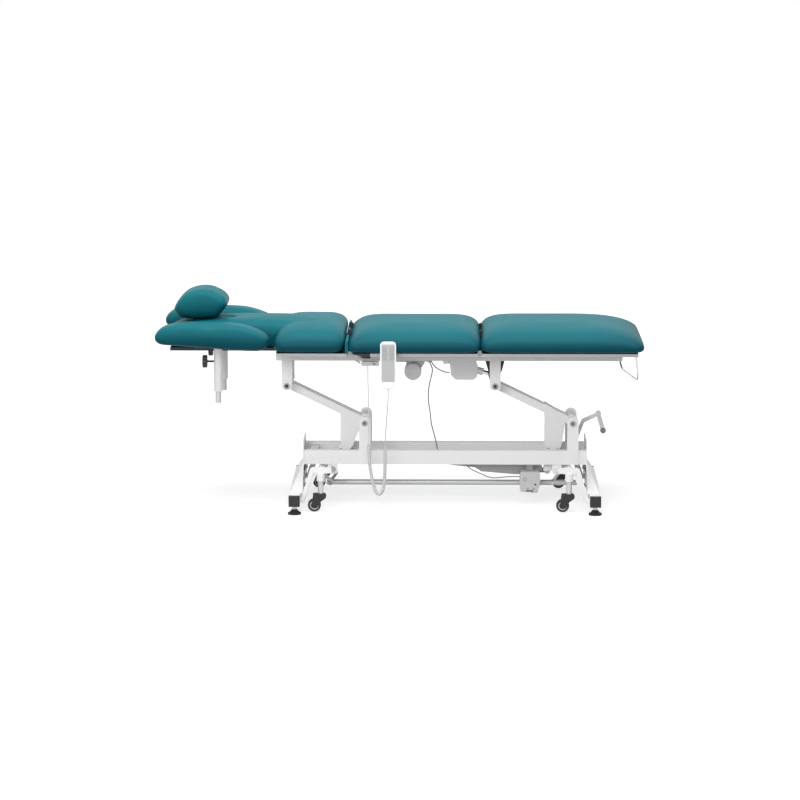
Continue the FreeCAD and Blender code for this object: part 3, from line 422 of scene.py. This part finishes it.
def spot(finish, x, z, radius):
    """1 inside a circle in X and Z, and 0 outside it."""
    return distance(finish.x - x, finish.z - z).under(radius)


def bolted(name, places, head_tone, socket_shade_tone):
    """Powder coat with a steel socket screw at each place in X and Z, and painted shade in its
    socket.
    """
    finish = Finish(name)
    front = finish.y.size().over(plate_face)
    head = sum(spot(finish, x, z, screw_head) for x, z in places) * front
    # The socket's darker tone is painted shade in the screw's recess.
    socket = sum(spot(finish, x, z, screw_socket) for x, z in places) * front
    base = mixed(head, tinted(finish, coat_white), head_tone)
    base = mixed(socket, base, socket_shade_tone)
    return powder_coated(finish, base, satin(finish), metal=head * 0.4)


post_coat = bolted("post_coat", [(-0.134, 0.3195), (0.6623, 0.3195)],
                   colour(165, 165, 166), colour(104, 104, 105))
hanger_coat = bolted("hanger_coat", [(-0.4312, 0.463), (0.3651, 0.463)],
                     colour(150, 150, 151), colour(44, 44, 45))

# %% [markdown]
# ### Lever slots and hinge ears
# Each arm's lever shows a narrow slot that widens downwards, one on the foot arm itself
# and one on the far rail where the head arm's lever passes. The slot's shade is painted black.
# The foot arm also has a small ring. The hinge ears on top of the seat's rails are painted
# dark teal as shade, since they sit in the dark gap between the cushions.

# %% Arms and rails
# The slots' black is painted shade inside the openings.
slot_shade_black = colour(20, 20, 21)
# The ears' dark teal is painted shade, since they sit in the dark gap between the cushions.
ear_shade_teal = colour(6, 34, 40)
slot_spread = 0.22
ear_z = 0.6006


def lever_slot(finish, x, top, height):
    """A wedge in X and Z, closed at its top and cut off at its height."""
    wedge = ((finish.x - x).size() - (top - finish.z) * slot_spread).under(0.0, 0.0006)
    return wedge * finish.z.over(top - height)


foot_arm_coat = Finish("foot_arm_coat")
# The foot arm's slot is painted black as shade in the opening.
foot_slot = lever_slot(foot_arm_coat, 0.6055, 0.2125, 0.024)
ring_place = (0.5726, 0.2057)
ring = spot(foot_arm_coat, *ring_place, 0.0058) - spot(foot_arm_coat, *ring_place, 0.0036)
arm_base = mixed(foot_slot, tinted(foot_arm_coat, coat_white), slot_shade_black)
powder_coated(foot_arm_coat, mixed(ring, arm_base, colour(120, 120, 121)),
              satin(foot_arm_coat))

rail_coat = Finish("rail_coat")
# The rail's slot is painted black as shade in the opening too.
rail_slot = lever_slot(rail_coat, -0.2436, 0.2021, 0.026) * rail_coat.y.between(0.05, 0.09)
powder_coated(rail_coat, mixed(rail_slot, tinted(rail_coat, coat_white), slot_shade_black),
              satin(rail_coat))

top_coat = Finish("top_rail_coat")
# Above ear_z the rails' ears take the dark teal of painted shade.
powder_coated(top_coat, mixed(top_coat.z.over(ear_z), tinted(top_coat, coat_white), ear_shade_teal),
              satin(top_coat))

# %% [markdown]
# ### Castor frames and pedal
# The castor frames are white, but the round stem over each castor and the bolt's end above
# it are bare zinc. The pedal is white with grey grips. A mask from the place in metres
# chooses the finish, and it keeps the folded side plate out by the stem's own place in X.

# %% Castor frames and pedal
zinc_base = colour(205, 206, 208)
castor_mid_x, castor_reach, stem_radius = 0.17365, 0.47165, 0.0125
castor_inner_y = 0.235

castor_coat = Finish("castor_frame_coat")
bare = castor_coat.z.between(0.070, 0.1195) + castor_coat.z.over(0.1735)
bare = bare * castor_coat.y.size().over(castor_inner_y)
stem_off = ((castor_coat.x - castor_mid_x).size() - castor_reach).size()
bare = bare * stem_off.under(stem_radius)
powder_coated(castor_coat, mixed(bare, tinted(castor_coat, coat_white), zinc_base),
              0.36 - bare * 0.06, metal=bare * 0.3)

pedal_coat = Finish("pedal_coat")
grip = pedal_coat.y.under(-0.1758) + pedal_coat.y.over(0.2282)
grip = grip * pedal_coat.x.over(0.755)
powder_coated(pedal_coat, mixed(grip, tinted(pedal_coat, coat_white), colour(112, 112, 114)),
              0.35 + grip * 0.1)

# %% [markdown]
# ## Metal
# The piston rods and the paper holder are bright plated steel. The armrest stems and the
# long link rod are duller zinc plate. Both have fine grain and a roughness that varies, and
# the zinc is mostly not metallic, since its pale film hides the metal.

# %% Bright steel and zinc plate
def plated(name, base, drift, scale, metal, rough):
    finish = Finish(name)
    finish.feed(base=tinted(finish, base, drift, scale), metal=metal,
                rough=finish.noise(140, 3.0) * 0.12 + rough)
    return finish.bump(finish.noise(900), 0.00002, 0.3)


steel = plated("bright_steel", colour(196, 197, 200), 0.05, 30.0, metal=1.0, rough=0.16)
zinc = plated("zinc_plate", colour(206, 207, 208), 0.06, 3.0, metal=0.25, rough=0.30)

# %% [markdown]
# ## Moulded plastic
# The actuators' covers are grey moulded plastic with a fine spark-eroded texture, and the
# cables' sheaths, the handset's keys and the black forks and caps have it at other tones.

# %% Plastics
black_base = colour(15, 15, 16)


def plastic(name, base, rough=0.42):
    finish = Finish(name)
    finish.feed(base=tinted(finish, base, 0.05, 20.0),
                rough=finish.noise(90) * 0.12 + rough, shine=0.5)
    return finish.bump(finish.noise(1400), 0.00004, 0.4)


black_plastic = plastic("black_plastic", black_base)
drive_grey = plastic("actuator_cover", colour(178, 178, 180), 0.36)
# The back and leg actuators get a lighter copy of the grey. It is painted light that makes up for
# the shade under the boards.
actuator_painted_light = plastic("actuator_cover_painted_light", colour(216, 216, 217), 0.34)
cable_grey = plastic("cable_sheath", colour(142, 142, 144), 0.45)
lead_white = plastic("lead_sheath", colour(222, 222, 223), 0.45)
key_grey = plastic("handset_key", colour(168, 169, 171), 0.4)

# %% [markdown]
# ## The boards
# Each cushion sits on a board. Its underside is dark. Its long edges are painted a pale grey
# that stands in for the shade on the rails below. At the seat's hinge end the edge stays
# dark above a line that slopes down away from the hinge.

# %% Seat and leg boards
board_black = colour(26, 25, 26)
# The edge grey is darker than the white coat: painted shade that matches the shaded rails below.
board_edge_shade_grey = colour(184, 183, 183)
board_edge_y = 0.2835
hinge_dark_left, hinge_dark_right, hinge_dark_top, hinge_dark_fall = -0.1875, -0.1085, 0.56565, 0.25

board = Finish("board_finish")
edge = board.y.size().over(board_edge_y) * board.z.over(0.6)
# Near the hinge the edge stays dark above a sloping line.
cover = (board.z + board.x * hinge_dark_fall).over(hinge_dark_top)
edge = edge * (1 - cover * board.x.between(hinge_dark_left, hinge_dark_right))
board.feed(base=mixed(edge, tinted(board, board_black, 0.05), board_edge_shade_grey),
           rough=0.6 - edge * 0.15)
board.bump(board.noise(300), 0.00004, 0.4)

# %% [markdown]
# ### The back's frame and board
# The back is one CAD node with a white frame and a board on it, wide beside the seat and
# narrow under the headrest. The masks take the board by its height, and its edge by its width.
# The edge is painted a grey that stands in for the shade on the rails below. They take the hinge
# ears by their place beside the seat, and the ears are painted dark teal as shade in the gap.

# %% The back's frame
back_frame = Finish("back_frame_finish")
narrow = back_frame.x.under(-0.463)
wide_edge = back_frame.y.size().over(board_edge_y) * (1 - narrow)
outside = narrow * back_frame.y.size().over(0.1285)
on_board = back_frame.z.between(0.6002, 0.6128) * (1 - outside)
# The ears beside the seat take the dark teal of painted shade.
ears = back_frame.z.over(0.6128) * back_frame.x.over(-0.21)
back_base = mixed(on_board, tinted(back_frame, coat_white),
                  mixed(narrow, board_black, colour(3, 46, 56)))
# The wide board's edge takes the same grey of painted shade.
back_base = mixed(on_board * wide_edge, back_base, board_edge_shade_grey)
powder_coated(back_frame, mixed(ears, back_base, ear_shade_teal), 0.36 + on_board * 0.25,
              shine=0.5)

# %% [markdown]
# ### Levelling feet and wheels
# A foot is a black rubber disc on a zinc stud. A wheel is a black tyre with a pale ring on
# each side. The ring comes from the distance to the wheel's axle.

# %% Feet and wheels
stud_z = 0.0205
axle_z = 0.0266
ring_inner, ring_outer = 0.0125, 0.0172


def rubbered(finish, mask, pale, rough, metal=0.0):
    """Black rubber, with a pale part where the mask is 1."""
    finish.feed(base=mixed(mask, tinted(finish, black_base, 0.05), pale),
                rough=rough, metal=metal)
    return finish.bump(finish.noise(700), 0.00005, 0.5)


foot_finish = Finish("levelling_foot_finish")
stud = foot_finish.z.over(stud_z)
rubbered(foot_finish, stud, zinc_base, 0.62 - stud * 0.3, metal=stud * 0.4)


def wheel_finish(name, axle_x):
    finish = Finish(name)
    out = distance(finish.x - axle_x, finish.z - axle_z)
    pale_ring = out.between(ring_inner, ring_outer, 0.0003)
    return rubbered(finish, pale_ring, colour(222, 222, 221), 0.5 - pale_ring * 0.12)

# %% [markdown]
# ### Handset and control box
# The handset has a white rim round a silver face. The control box is light grey, with a
# dial and a few small sockets on its front.

# %% Handset and control box
handset = Finish("handset_finish")
face = (handset.x + 0.040).size().under(0.0245) * handset.z.between(0.5115, 0.6545)
face = face * handset.y.under(-0.3318)
handset.feed(base=mixed(face, colour(244, 244, 245), colour(182, 182, 182)),
             rough=0.4 - face * 0.08)
handset.bump(handset.noise(1500, 1.0), 0.00003, 0.4)

box_finish = Finish("control_box_finish")
box_front = box_finish.y.under(-0.0945)
dial_place = (0.4807, 0.0983)
dial = spot(box_finish, *dial_place, 0.0072) - spot(box_finish, *dial_place, 0.0050)
marks = sum(spot(box_finish, x, z, radius) for x, z, radius in
            [(0.5212, 0.0785, 0.0042), (0.4928, 0.0616, 0.0024), (0.5159, 0.0616, 0.0024)])
marks = marks + box_finish.x.between(0.485, 0.514) * box_finish.z.between(0.0505, 0.0565)
box_base = mixed(dial * box_front, tinted(box_finish, colour(204, 204, 204), 0.03),
                 colour(128, 128, 128))
box_finish.feed(base=mixed(marks * box_front, box_base, colour(84, 84, 84)),
                rough=box_finish.noise(90) * 0.12 + 0.42)
box_finish.bump(box_finish.noise(1400), 0.00004, 0.4)

# %% [markdown]
# ## Teal vinyl
# The cover is a smooth upholstery vinyl: a satin top coat over a fine leather grain. Its tone
# is painted lighter high up and deeper low down: painted light on top and painted shade towards
# the bottom. The armrests' slanted boards show under their pads as a dark band.

# %% Vinyl
def vinyl_finish(name, low, high, board_line=None):
    """Teal vinyl with painted light towards the height high and painted shade that deepens
    down to the height low. board_line is the line under which the dark board shows: its
    height at X = 0, and its slope."""
    finish = Finish(name)
    pores = finish.pores(560.0)
    crease = finish.noise(210.0, 4.0)
    drift = finish.noise(5.0, 4.0)
    # The upper tone is painted light and the lower tone is painted shade, mixed by height.
    upper = mixed(drift, colour(4, 94, 102), colour(14, 104, 113))
    lower = mixed(drift, colour(0, 63, 75), colour(0, 71, 83))
    base = mixed(finish.z.over((low + high) / 2, (high - low) / 2), lower, upper)
    base = mixed(pores.over(0.55, 0.25) * 0.2, base, colour(0, 74, 86))
    if board_line:
        height, slope = board_line
        base = mixed((finish.z - finish.x * slope).under(height), base, colour(6, 34, 42))
    finish.feed(base=base, rough=crease * 0.12 + 0.42, shine=0.10)
    return finish.bump(pores * 0.6 + crease * 0.4, 0.00018, 0.35)


rest_slope = -0.0625
vinyl = vinyl_finish("teal_vinyl", 0.632, 0.706)
vinyl_rest = vinyl_finish("teal_vinyl_armrest", 0.640, 0.712, board_line=(0.5915, rest_slope))
vinyl_strip = vinyl_finish("teal_vinyl_strip", 0.50, 0.52)
vinyl_pillow = vinyl_finish("teal_vinyl_pillow", 0.716, 0.806)

# %% [markdown]
# ## Dressing the CAD nodes
# The CAD record gives every node a material slot. Most slots have one finish, and the
# pieces with marks or more than one finish of their own are named one by one.

# %% Give every CAD node its finish
by_slot = {
    "frame_white": powder, "drive_grey": drive_grey, "bright_steel": steel,
    "black_plastic": black_plastic, "board_black": board, "back_board": back_frame,
    "vinyl_teal": vinyl, "box_grey": box_finish, "handset_grey": handset,
    "button_grey": key_grey, "cable_grey": cable_grey, "fork_black": black_plastic,
    "foot_black": foot_finish,
}
by_node = {
    "head_castor_frame": castor_coat, "foot_castor_frame": castor_coat, "pedal": pedal_coat,
    "post_plates": post_coat, "hanger_plates": hanger_coat, "base_rails": rail_coat,
    "top_rails": top_coat, "foot_arm": foot_arm_coat, "link_rod": zinc,
    "back_motor": actuator_painted_light, "leg_motor": actuator_painted_light,
    "armrest_stem_near": zinc, "armrest_stem_far": zinc,
}


def dress(piece, finish):
    piece.data.materials.clear()
    piece.data.materials.append(finish.material)


for row in frame["record"]["subparts"]:
    node = row["node"]
    if node.startswith("castor_wheel"):
        low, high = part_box(node)
        by_node[node] = wheel_finish(node + "_finish", (low.x + high.x) / 2)
    dress(nodes[node], by_node.get(node) or by_slot[row["material_slot"]])
for cable in cables:
    dress(cable, lead_white if cable is lead else cable_grey)
print("finishes:", len(bpy.data.materials))

# %% [markdown]
# ## The cushions
# Each cushion is foam on a board with vinyl pulled over it. The pull rounds the long edges
# far more than the lower ones, and the sheet swells slightly between its corners. The form
# starts as two curved sheets that meet in a rounded outline, one for the crown and one for
# the flat base, and a short cloth simulation with inner pressure then gives it its fullness.

# %% The crowned pad
board_top = 0.6128
plan_corner = 0.034
base_power = 16


def spread(count, ends=0.75):
    """Places from -1 to 1 that crowd towards both ends."""
    even = np.linspace(-1, 1, count)
    return ends * np.sin(even * math.pi / 2) + (1 - ends) * even


def plan_place(u, v, reach, half):
    """The place in X and Y of a grid point, with the outline's corners rounded."""
    x, y = u * reach, v * half
    core_x = max(-(reach - plan_corner), min(reach - plan_corner, x))
    core_y = max(-(half - plan_corner), min(half - plan_corner, y))
    off = Vector((x - core_x, y - core_y))
    if off.length > 1e-9:
        off *= max(abs(off.x), abs(off.y)) / off.length
    return core_x + off.x, core_y + off.y


def crowned_pad(name, x0, x1, half, edge_z, top_z, lean=(0.0, 0.0), ease=(8.0, 8.0, 4.8),
                cells=(48, 56)):
    """A pad with its widest line at edge_z and its crown at top_z. lean tilts the left and
    right end by that much from base to top, and ease says how late the crown falls at the
    left end, the right end and the two sides."""
    us, vs = spread(cells[0]), spread(cells[1])
    mid_x, reach = (x0 + x1) / 2, (x1 - x0) / 2
    mesh = bmesh.new()
    sheets = []
    for far_z in (top_z, board_top):
        crown = far_z == top_z
        sheet = []
        for i, u in enumerate(us):
            row = []
            for j, v in enumerate(vs):
                border = i in (0, len(us) - 1) or j in (0, len(vs) - 1)
                if border and not crown:
                    row.append(sheets[0][i][j])
                    continue
                px, py = plan_place(u, v, reach, half)
                end_power = (ease[0] if u < 0 else ease[1]) if crown else base_power
                side_power = ease[2] if crown else base_power
                fall = math.sqrt(max(0.0, 1 - abs(u) ** end_power))
                fall *= math.sqrt(max(0.0, 1 - abs(v) ** side_power))
                z = edge_z + (far_z - edge_z) * fall
                tilt = lean[0] * max(0.0, -u) ** 3 + lean[1] * max(0.0, u) ** 3
                px += tilt * (z - edge_z) / (top_z - board_top)
                row.append(mesh.verts.new((mid_x + px, py, z)))
            sheet.append(row)
        sheets.append(sheet)
        for i in range(len(us) - 1):
            for j in range(len(vs) - 1):
                quad = [sheet[i][j], sheet[i + 1][j], sheet[i + 1][j + 1], sheet[i][j + 1]]
                mesh.faces.new(quad if crown else quad[::-1])
    return formed(name, mesh)

# %% [markdown]
# ### Reading and writing a mesh
# Modifiers and the simulation work on a copy that Blender evaluates. These helpers take
# that copy as the new mesh, and move all its points at once through an array, which is much
# faster than one point at a time.

# %% Meshes as arrays
def take_modifiers(piece):
    """Replaces the piece's mesh by what its modifiers make of it."""
    graph = bpy.context.evaluated_depsgraph_get()
    made = bpy.data.meshes.new_from_object(piece.evaluated_get(graph), depsgraph=graph)
    piece.modifiers.clear()
    old = piece.data
    piece.data = made
    bpy.data.meshes.remove(old)


def voxelled(piece, size):
    """Remeshes the piece into even cells and keeps its outer skin."""
    remesh = piece.modifiers.new("even cells", "REMESH")
    remesh.mode = "VOXEL"
    remesh.voxel_size = size


def points_of(data):
    flat = np.zeros(len(data.vertices) * 3, np.float32)
    data.vertices.foreach_get("co", flat)
    return flat.reshape(-1, 3)


def set_points(data, points):
    data.vertices.foreach_set("co", points.astype(np.float32).ravel())
    data.update()

# %% [markdown]
# ### Stuffing
# The voxel remesh gives even cells whatever the form was made of. The cloth is held where
# it is stapled under the board, inner pressure swells the rest, and no point may move
# further than a cap, so the cushion stays in its place.

# %% Stuffing
cover_frames = 16


def swelled(piece, pinned, pressure, cap):
    """Runs the cloth and moves each point by what it did, up to the cap."""
    scene = bpy.context.scene
    rest = points_of(piece.data)
    held = piece.vertex_groups.new(name="held")
    weights = np.array([pinned(*p) for p in rest])
    for index in np.nonzero(weights > 0)[0]:
        held.add([int(index)], float(weights[index]), "REPLACE")
    cloth = piece.modifiers.new("cover", "CLOTH")
    cloth.settings.vertex_group_mass = "held"
    cloth.settings.use_pressure = True
    cloth.settings.uniform_pressure_force = pressure
    cloth.settings.quality = 5
    cloth.settings.tension_stiffness = 30
    cloth.settings.compression_stiffness = 30
    cloth.settings.bending_stiffness = 8
    cloth.settings.effector_weights.gravity = 0.0
    cloth.point_cache.frame_end = cover_frames
    for number in range(1, cover_frames + 1):
        scene.frame_set(number)
    graph = bpy.context.evaluated_depsgraph_get()
    moved = points_of(piece.evaluated_get(graph).data)
    piece.modifiers.clear()
    shift = moved - rest
    size = np.linalg.norm(shift, axis=1, keepdims=True)
    shift *= np.minimum(1.0, cap / np.maximum(size, 1e-9))
    set_points(piece.data, rest + shift)
    scene.frame_set(1)
    print(piece.name, "swelled by up to", round(float(size.max()) * 1000, 1), "mm")


def stuffed(piece, voxel, pinned, pressure=4.0, cap=0.005, relax=6):
    """Swells a closed form as a stuffed cover. pinned says which points are held."""
    if piece.name not in bpy.context.scene.collection.objects:
        linked(piece)
    voxelled(piece, voxel)
    smooth = piece.modifiers.new("soft edges", "SMOOTH")
    smooth.factor = 0.5
    smooth.iterations = relax
    take_modifiers(piece)
    swelled(piece, pinned, pressure, cap)
    finer = piece.modifiers.new("finer", "SUBSURF")
    finer.levels = finer.render_levels = 1
    take_modifiers(piece)
    for polygon in piece.data.polygons:
        polygon.use_smooth = True

# %% [markdown]
# ### Upholstering
# A finished cover rides the body that its foam is on and takes the place of the CAD node.
# The staples are out of sight, so a cover is held wherever it is lower than their line.

# %% Upholstering
staple_line = 0.622


def seated(x, y, z):
    return 1.0 if z < staple_line else 0.0


def upholster(piece, body, node, cover=vinyl):
    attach(piece, body)
    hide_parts(node)
    dress(piece, cover)
    points = points_of(piece.data)
    print(piece.name, "from", points.min(0).round(4).tolist(),
          "to", points.max(0).round(4).tolist())

# %% [markdown]
# ### Seat cushion
# The seat is a plain rectangle in plan. Its hinge end leans away from the back, which
# leaves room for the back to swing up.

# %% Seat cushion
seat = crowned_pad("seat_cushion_cover", -0.199, 0.3115, 0.3150, 0.634, 0.7045,
                   lean=(0.036, 0.0), ease=(7.0, 8.0, 4.6))
stuffed(seat, 0.010, seated, pressure=0.5)
upholster(seat, "top_frame", "seat_cushion")

# %% [markdown]
# ### Leg cushion
# The leg cushion is a rectangle too, and its crown slopes down early towards the foot end,
# so its right end eases over a longer way.

# %% Leg cushion
leg = crowned_pad("leg_cushion_cover", 0.3065, 0.9290, 0.3150, 0.634, 0.7065,
                  lean=(0.0, -0.010), ease=(9.0, 3.2, 4.6), cells=(56, 56))
stuffed(leg, 0.010, seated, pressure=0.4)
upholster(leg, "leg", "leg_cushion")

# %% [markdown]
# ### Back cushion with its headrest
# The back is a wide pad that narrows to a headrest between the two armrests. Two crowned
# pads run into each other, and the remesh makes one cover of them. A round breathing hole
# goes through the headrest. A boolean cuts it, since a hole is easier to take out of a
# closed form than to build into its grid.

# %% Back cushion
hole_x, hole_radius, hole_hem = -0.655, 0.0225, 0.040
hole_low, hole_high = 0.59, 0.73

both = bmesh.new()
for pad in (crowned_pad("wide", -0.473, -0.2065, 0.3135, 0.640, 0.7125,
                        lean=(0.0, 0.024), ease=(3.6, 5.5, 4.6)),
            crowned_pad("head", -0.902, -0.300, 0.1395, 0.640, 0.7175, ease=(3.4, 60, 9.0))):
    both.from_mesh(pad.data)
    bpy.data.objects.remove(pad)
back = linked(formed("back_cushion_cover", both))
voxelled(back, 0.007)
take_modifiers(back)

drum = bmesh.new()
bmesh.ops.create_cone(drum, cap_ends=True, segments=48, radius1=hole_radius,
                      radius2=hole_radius, depth=hole_high - hole_low,
                      matrix=Matrix.Translation((hole_x, 0.0, (hole_low + hole_high) / 2)))
plug = linked(formed("plug", drum))
hole = back.modifiers.new("breathing hole", "BOOLEAN")
hole.operation = "DIFFERENCE"
hole.object = plug
take_modifiers(back)
bpy.data.objects.remove(plug)


def back_held(x, y, z):
    in_hole = math.hypot(x - hole_x, y) < hole_hem
    return 1.0 if z < staple_line or in_hole else 0.0


stuffed(back, 0.008, back_held, pressure=0.8, relax=8)
upholster(back, "back", "back_cushion")

# %% [markdown]
# ### The vinyl strip in the hinge gap
# A narrow strip of the same vinyl closes the gap between back and seat across the table's
# width. Its folded top edge shows as a fine line, and it is left out at the hinge ears.

# %% Hinge strip
def tube(mesh, rows):
    """Joins closed rows of points one after the other and closes both ends."""
    for first, second in zip(rows, rows[1:]):
        for i in range(len(first)):
            j = (i + 1) % len(first)
            mesh.faces.new((first[i], first[j], second[j], second[i]))
    mesh.faces.new(rows[0][::-1])
    mesh.faces.new(rows[-1])


def folded_strip(name, x, half_width, z0, z1, spans):
    """A strip along Y with a round top, in one length for each span in Y."""
    mesh = bmesh.new()
    turns = [math.pi * k / 8 for k in range(9)]
    profile = [(x + half_width, z0)]
    profile += [(x + half_width * math.cos(t), z1 - half_width + half_width * math.sin(t))
                for t in turns]
    profile += [(x - half_width, z0)]
    for span in spans:
        rows = [[mesh.verts.new((px, y, pz)) for px, pz in profile] for y in span]
        tube(mesh, rows)
    bmesh.ops.recalc_face_normals(mesh, faces=mesh.faces)
    return formed(name, mesh)


strip = linked(folded_strip("hinge_strip", -0.1970, 0.0060, 0.614, 0.6620,
                            [(-0.300, -0.113), (-0.096, 0.096), (0.113, 0.300)]))
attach(strip, "top_frame")
dress(strip, vinyl_strip)
print("hinge strip has", len(strip.data.polygons), "faces")

# %% [markdown]
# ### Bolsters
# The armrests and the pillow are bolsters: their side outline is drawn once, and its rings
# shrink towards the two faces so that the long edges are round. A few points are enough for
# an outline, because a smooth line is led through them.

# %% A bolster from its outline
def smooth_outline(points, count=96):
    """A closed smooth line through a few points given in millimetres."""
    knots = np.array(points) / 1000.0
    size = len(knots)
    line = []
    for i in range(size):
        p0, p1, p2, p3 = (knots[(i + k) % size] for k in (-1, 0, 1, 2))
        for t in np.linspace(0, 1, max(2, count // size), endpoint=False):
            line.append(0.5 * ((2 * p1) + (p2 - p0) * t + (2 * p0 - 5 * p1 + 4 * p2 - p3) * t ** 2
                               + (3 * p1 - p0 - 3 * p2 + p3) * t ** 3))
    return line


def bolster(name, outline, y0, y1, round_y, shrink, steps=9):
    """A closed form from an outline in X and Z, rounded towards its two faces."""
    points = np.array(outline)
    centre = (points.min(0) + points.max(0)) / 2
    half = (points.max(0) - points.min(0)) / 2
    rings = [(y0 + round_y * (1 - math.sin(math.pi / 2 * (1 - k / steps))),
              shrink * (1 - math.cos(math.pi / 2 * (1 - k / steps)))) for k in range(steps + 1)]
    rings += [(y0 + y1 - y, inset) for y, inset in reversed(rings)]
    mesh = bmesh.new()
    rows = []
    for y, inset in rings:
        scale = 1 - inset / half
        rows.append([mesh.verts.new((centre[0] + (p[0] - centre[0]) * scale[0], y,
                                     centre[1] + (p[1] - centre[1]) * scale[1]))
                     for p in points])
    tube(mesh, rows)
    bmesh.ops.recalc_face_normals(mesh, faces=mesh.faces)
    return formed(name, mesh)

# %% [markdown]
# ### Armrests
# An armrest is a long bolster on a dark board that slopes down a little towards the seat.
# The far one is the near one's mirror image, so the cover is simulated only once.

# %% Armrests
rest_outline = smooth_outline([(-922, 673), (-910, 694), (-877, 714), (-819, 724), (-766, 725),
                               (-713, 723), (-660, 722), (-607, 719), (-562, 708), (-528, 695),
                               (-505, 682), (-492, 668), (-490, 653), (-502, 633), (-528, 621),
                               (-605, 623), (-684, 629), (-763, 635), (-842, 641), (-896, 645),
                               (-916, 656)])


def rest_held(x, y, z):
    return 1.0 if z < 0.651 + (x + 0.895) * rest_slope else 0.0


rest_near = bolster("armrest_cover_near", rest_outline, -0.318, -0.186, 0.040, 0.022)
stuffed(rest_near, 0.007, rest_held)
rest_far = rest_near.copy()
rest_far.data = rest_near.data.copy()
rest_far.name = "armrest_cover_far"
linked(rest_far)
set_points(rest_far.data, points_of(rest_far.data) * np.array([1, -1, 1]))
rest_far.data.flip_normals()
upholster(rest_near, "armrest_near", "armrest_pad_near", cover=vinyl_rest)
upholster(rest_far, "armrest_far", "armrest_pad_far", cover=vinyl_rest)

# %% [markdown]
# ### Pillow
# The pillow is a loose half-round bolster. Its ends are drawn in by the seams, and it is
# the fullest piece on the table.

# %% Pillow
pillow_outline = smooth_outline([(-843, 722), (-859, 738), (-864, 752), (-851, 778), (-822, 809),
                                 (-791, 824), (-756, 830), (-727, 828), (-702, 819),
                                 (-678, 806), (-664, 791), (-658, 772), (-676, 746),
                                 (-697, 724), (-730, 717), (-769, 716), (-812, 717)])
pillow_seat = 0.7195


def pillow_held(x, y, z):
    return 1.0 if z < pillow_seat else 0.0


pillow = bolster("pillow_cover", pillow_outline, -0.108, 0.108, 0.048, 0.024)
stuffed(pillow, 0.006, pillow_held, pressure=6.0, cap=0.006)
upholster(pillow, "back", "pillow", cover=vinyl_pillow)

# %% [markdown]
# ## Floor
# The picture has a plain white ground. The floor is white for the lens and in gloss, and
# darker for light that bounces, which keeps the undersides of the cushions deep. Light Path
# tells the two apart. Near the table it glows less, so that it still takes a soft shadow.

# %% Floor
floor_reach = 24.0
floor_mesh = bpy.data.meshes.new("floor")
floor_mesh.from_pydata([(-floor_reach, -floor_reach, 0), (floor_reach, -floor_reach, 0),
                        (floor_reach, floor_reach, 0), (-floor_reach, floor_reach, 0)],
                       [], [(0, 1, 2, 3)])
floor = linked(bpy.data.objects.new("floor", floor_mesh))


def seen_by_lens(tree):
    """1 for rays that end in the picture, straight or by way of gloss or glass."""
    rays = Value(tree).node("LightPath").socket.node.outputs
    return sum(Value(tree, rays[kind]) for kind in
               ("Is Camera Ray", "Is Glossy Ray", "Is Transmission Ray")).capped()


ground = Finish("pale_floor")
shown = seen_by_lens(ground.tree)
far_off = distance(ground.x, ground.y).over(2.0, 1.0)
ground.feed(base=mixed(shown, grey(0.40), grey(0.45)), rough=0.9, shine=0.0,
            glow=mixed(shown, grey(0.0), mixed(far_off, grey(0.70), grey(1.0))),
            glow_strength=1.0)
dress(floor, ground)
print("floor of", 2 * floor_reach, "m")

# %% [markdown]
# ## World
# The world is white where the lens or gloss sees it, and a weak, slightly cool fill light
# for everything else. A Mix Shader chooses between the two backgrounds.

# %% World
sky = bpy.data.worlds.new("studio")
bpy.context.scene.world = sky
sky.use_nodes = True
sky.node_tree.nodes.clear()
shown = seen_by_lens(sky.node_tree)
backdrop = shown.node("Background", sockets={0: grey(1.0), 1: 1.0})
ambient = shown.node("Background", sockets={0: (0.97, 0.985, 1.0, 1.0), 1: 0.45})
blended = shown.node("MixShader", sockets={0: shown, 1: ambient, 2: backdrop})
output = sky.node_tree.nodes.new("ShaderNodeOutputWorld")
sky.node_tree.links.new(blended.socket, output.inputs["Surface"])
print("world:", sky.name)

# %% [markdown]
# ## Lamps
# One large soft lamp hangs over the table and a second stands in front, as two soft boxes
# do in a studio. Their size keeps the shadows on the floor faint.

# %% Lamps
def soft_lamp(name, place, target, width, height, power):
    data = bpy.data.lights.new(name, "AREA")
    data.shape = "RECTANGLE"
    data.size, data.size_y = width, height
    data.energy = power
    lamp = linked(bpy.data.objects.new(name, data))
    lamp.location = place
    lamp.rotation_euler = (Vector(place) - Vector(target)).to_track_quat("Z", "Y").to_euler()
    print("lamp", name, "at", place, "with", power, "W")


soft_lamp("overhead", (0.0, -0.6, 3.0), (0.0, 0.0, 0.5), 3.6, 2.4, 95.0)
soft_lamp("front", (-1.0, -4.2, 1.9), (0.0, 0.0, 0.4), 3.0, 2.0, 90.0)

# %% [markdown]
# ## The end
# The view layer is brought up to date once more.

# %% Finish
bpy.context.view_layer.update()
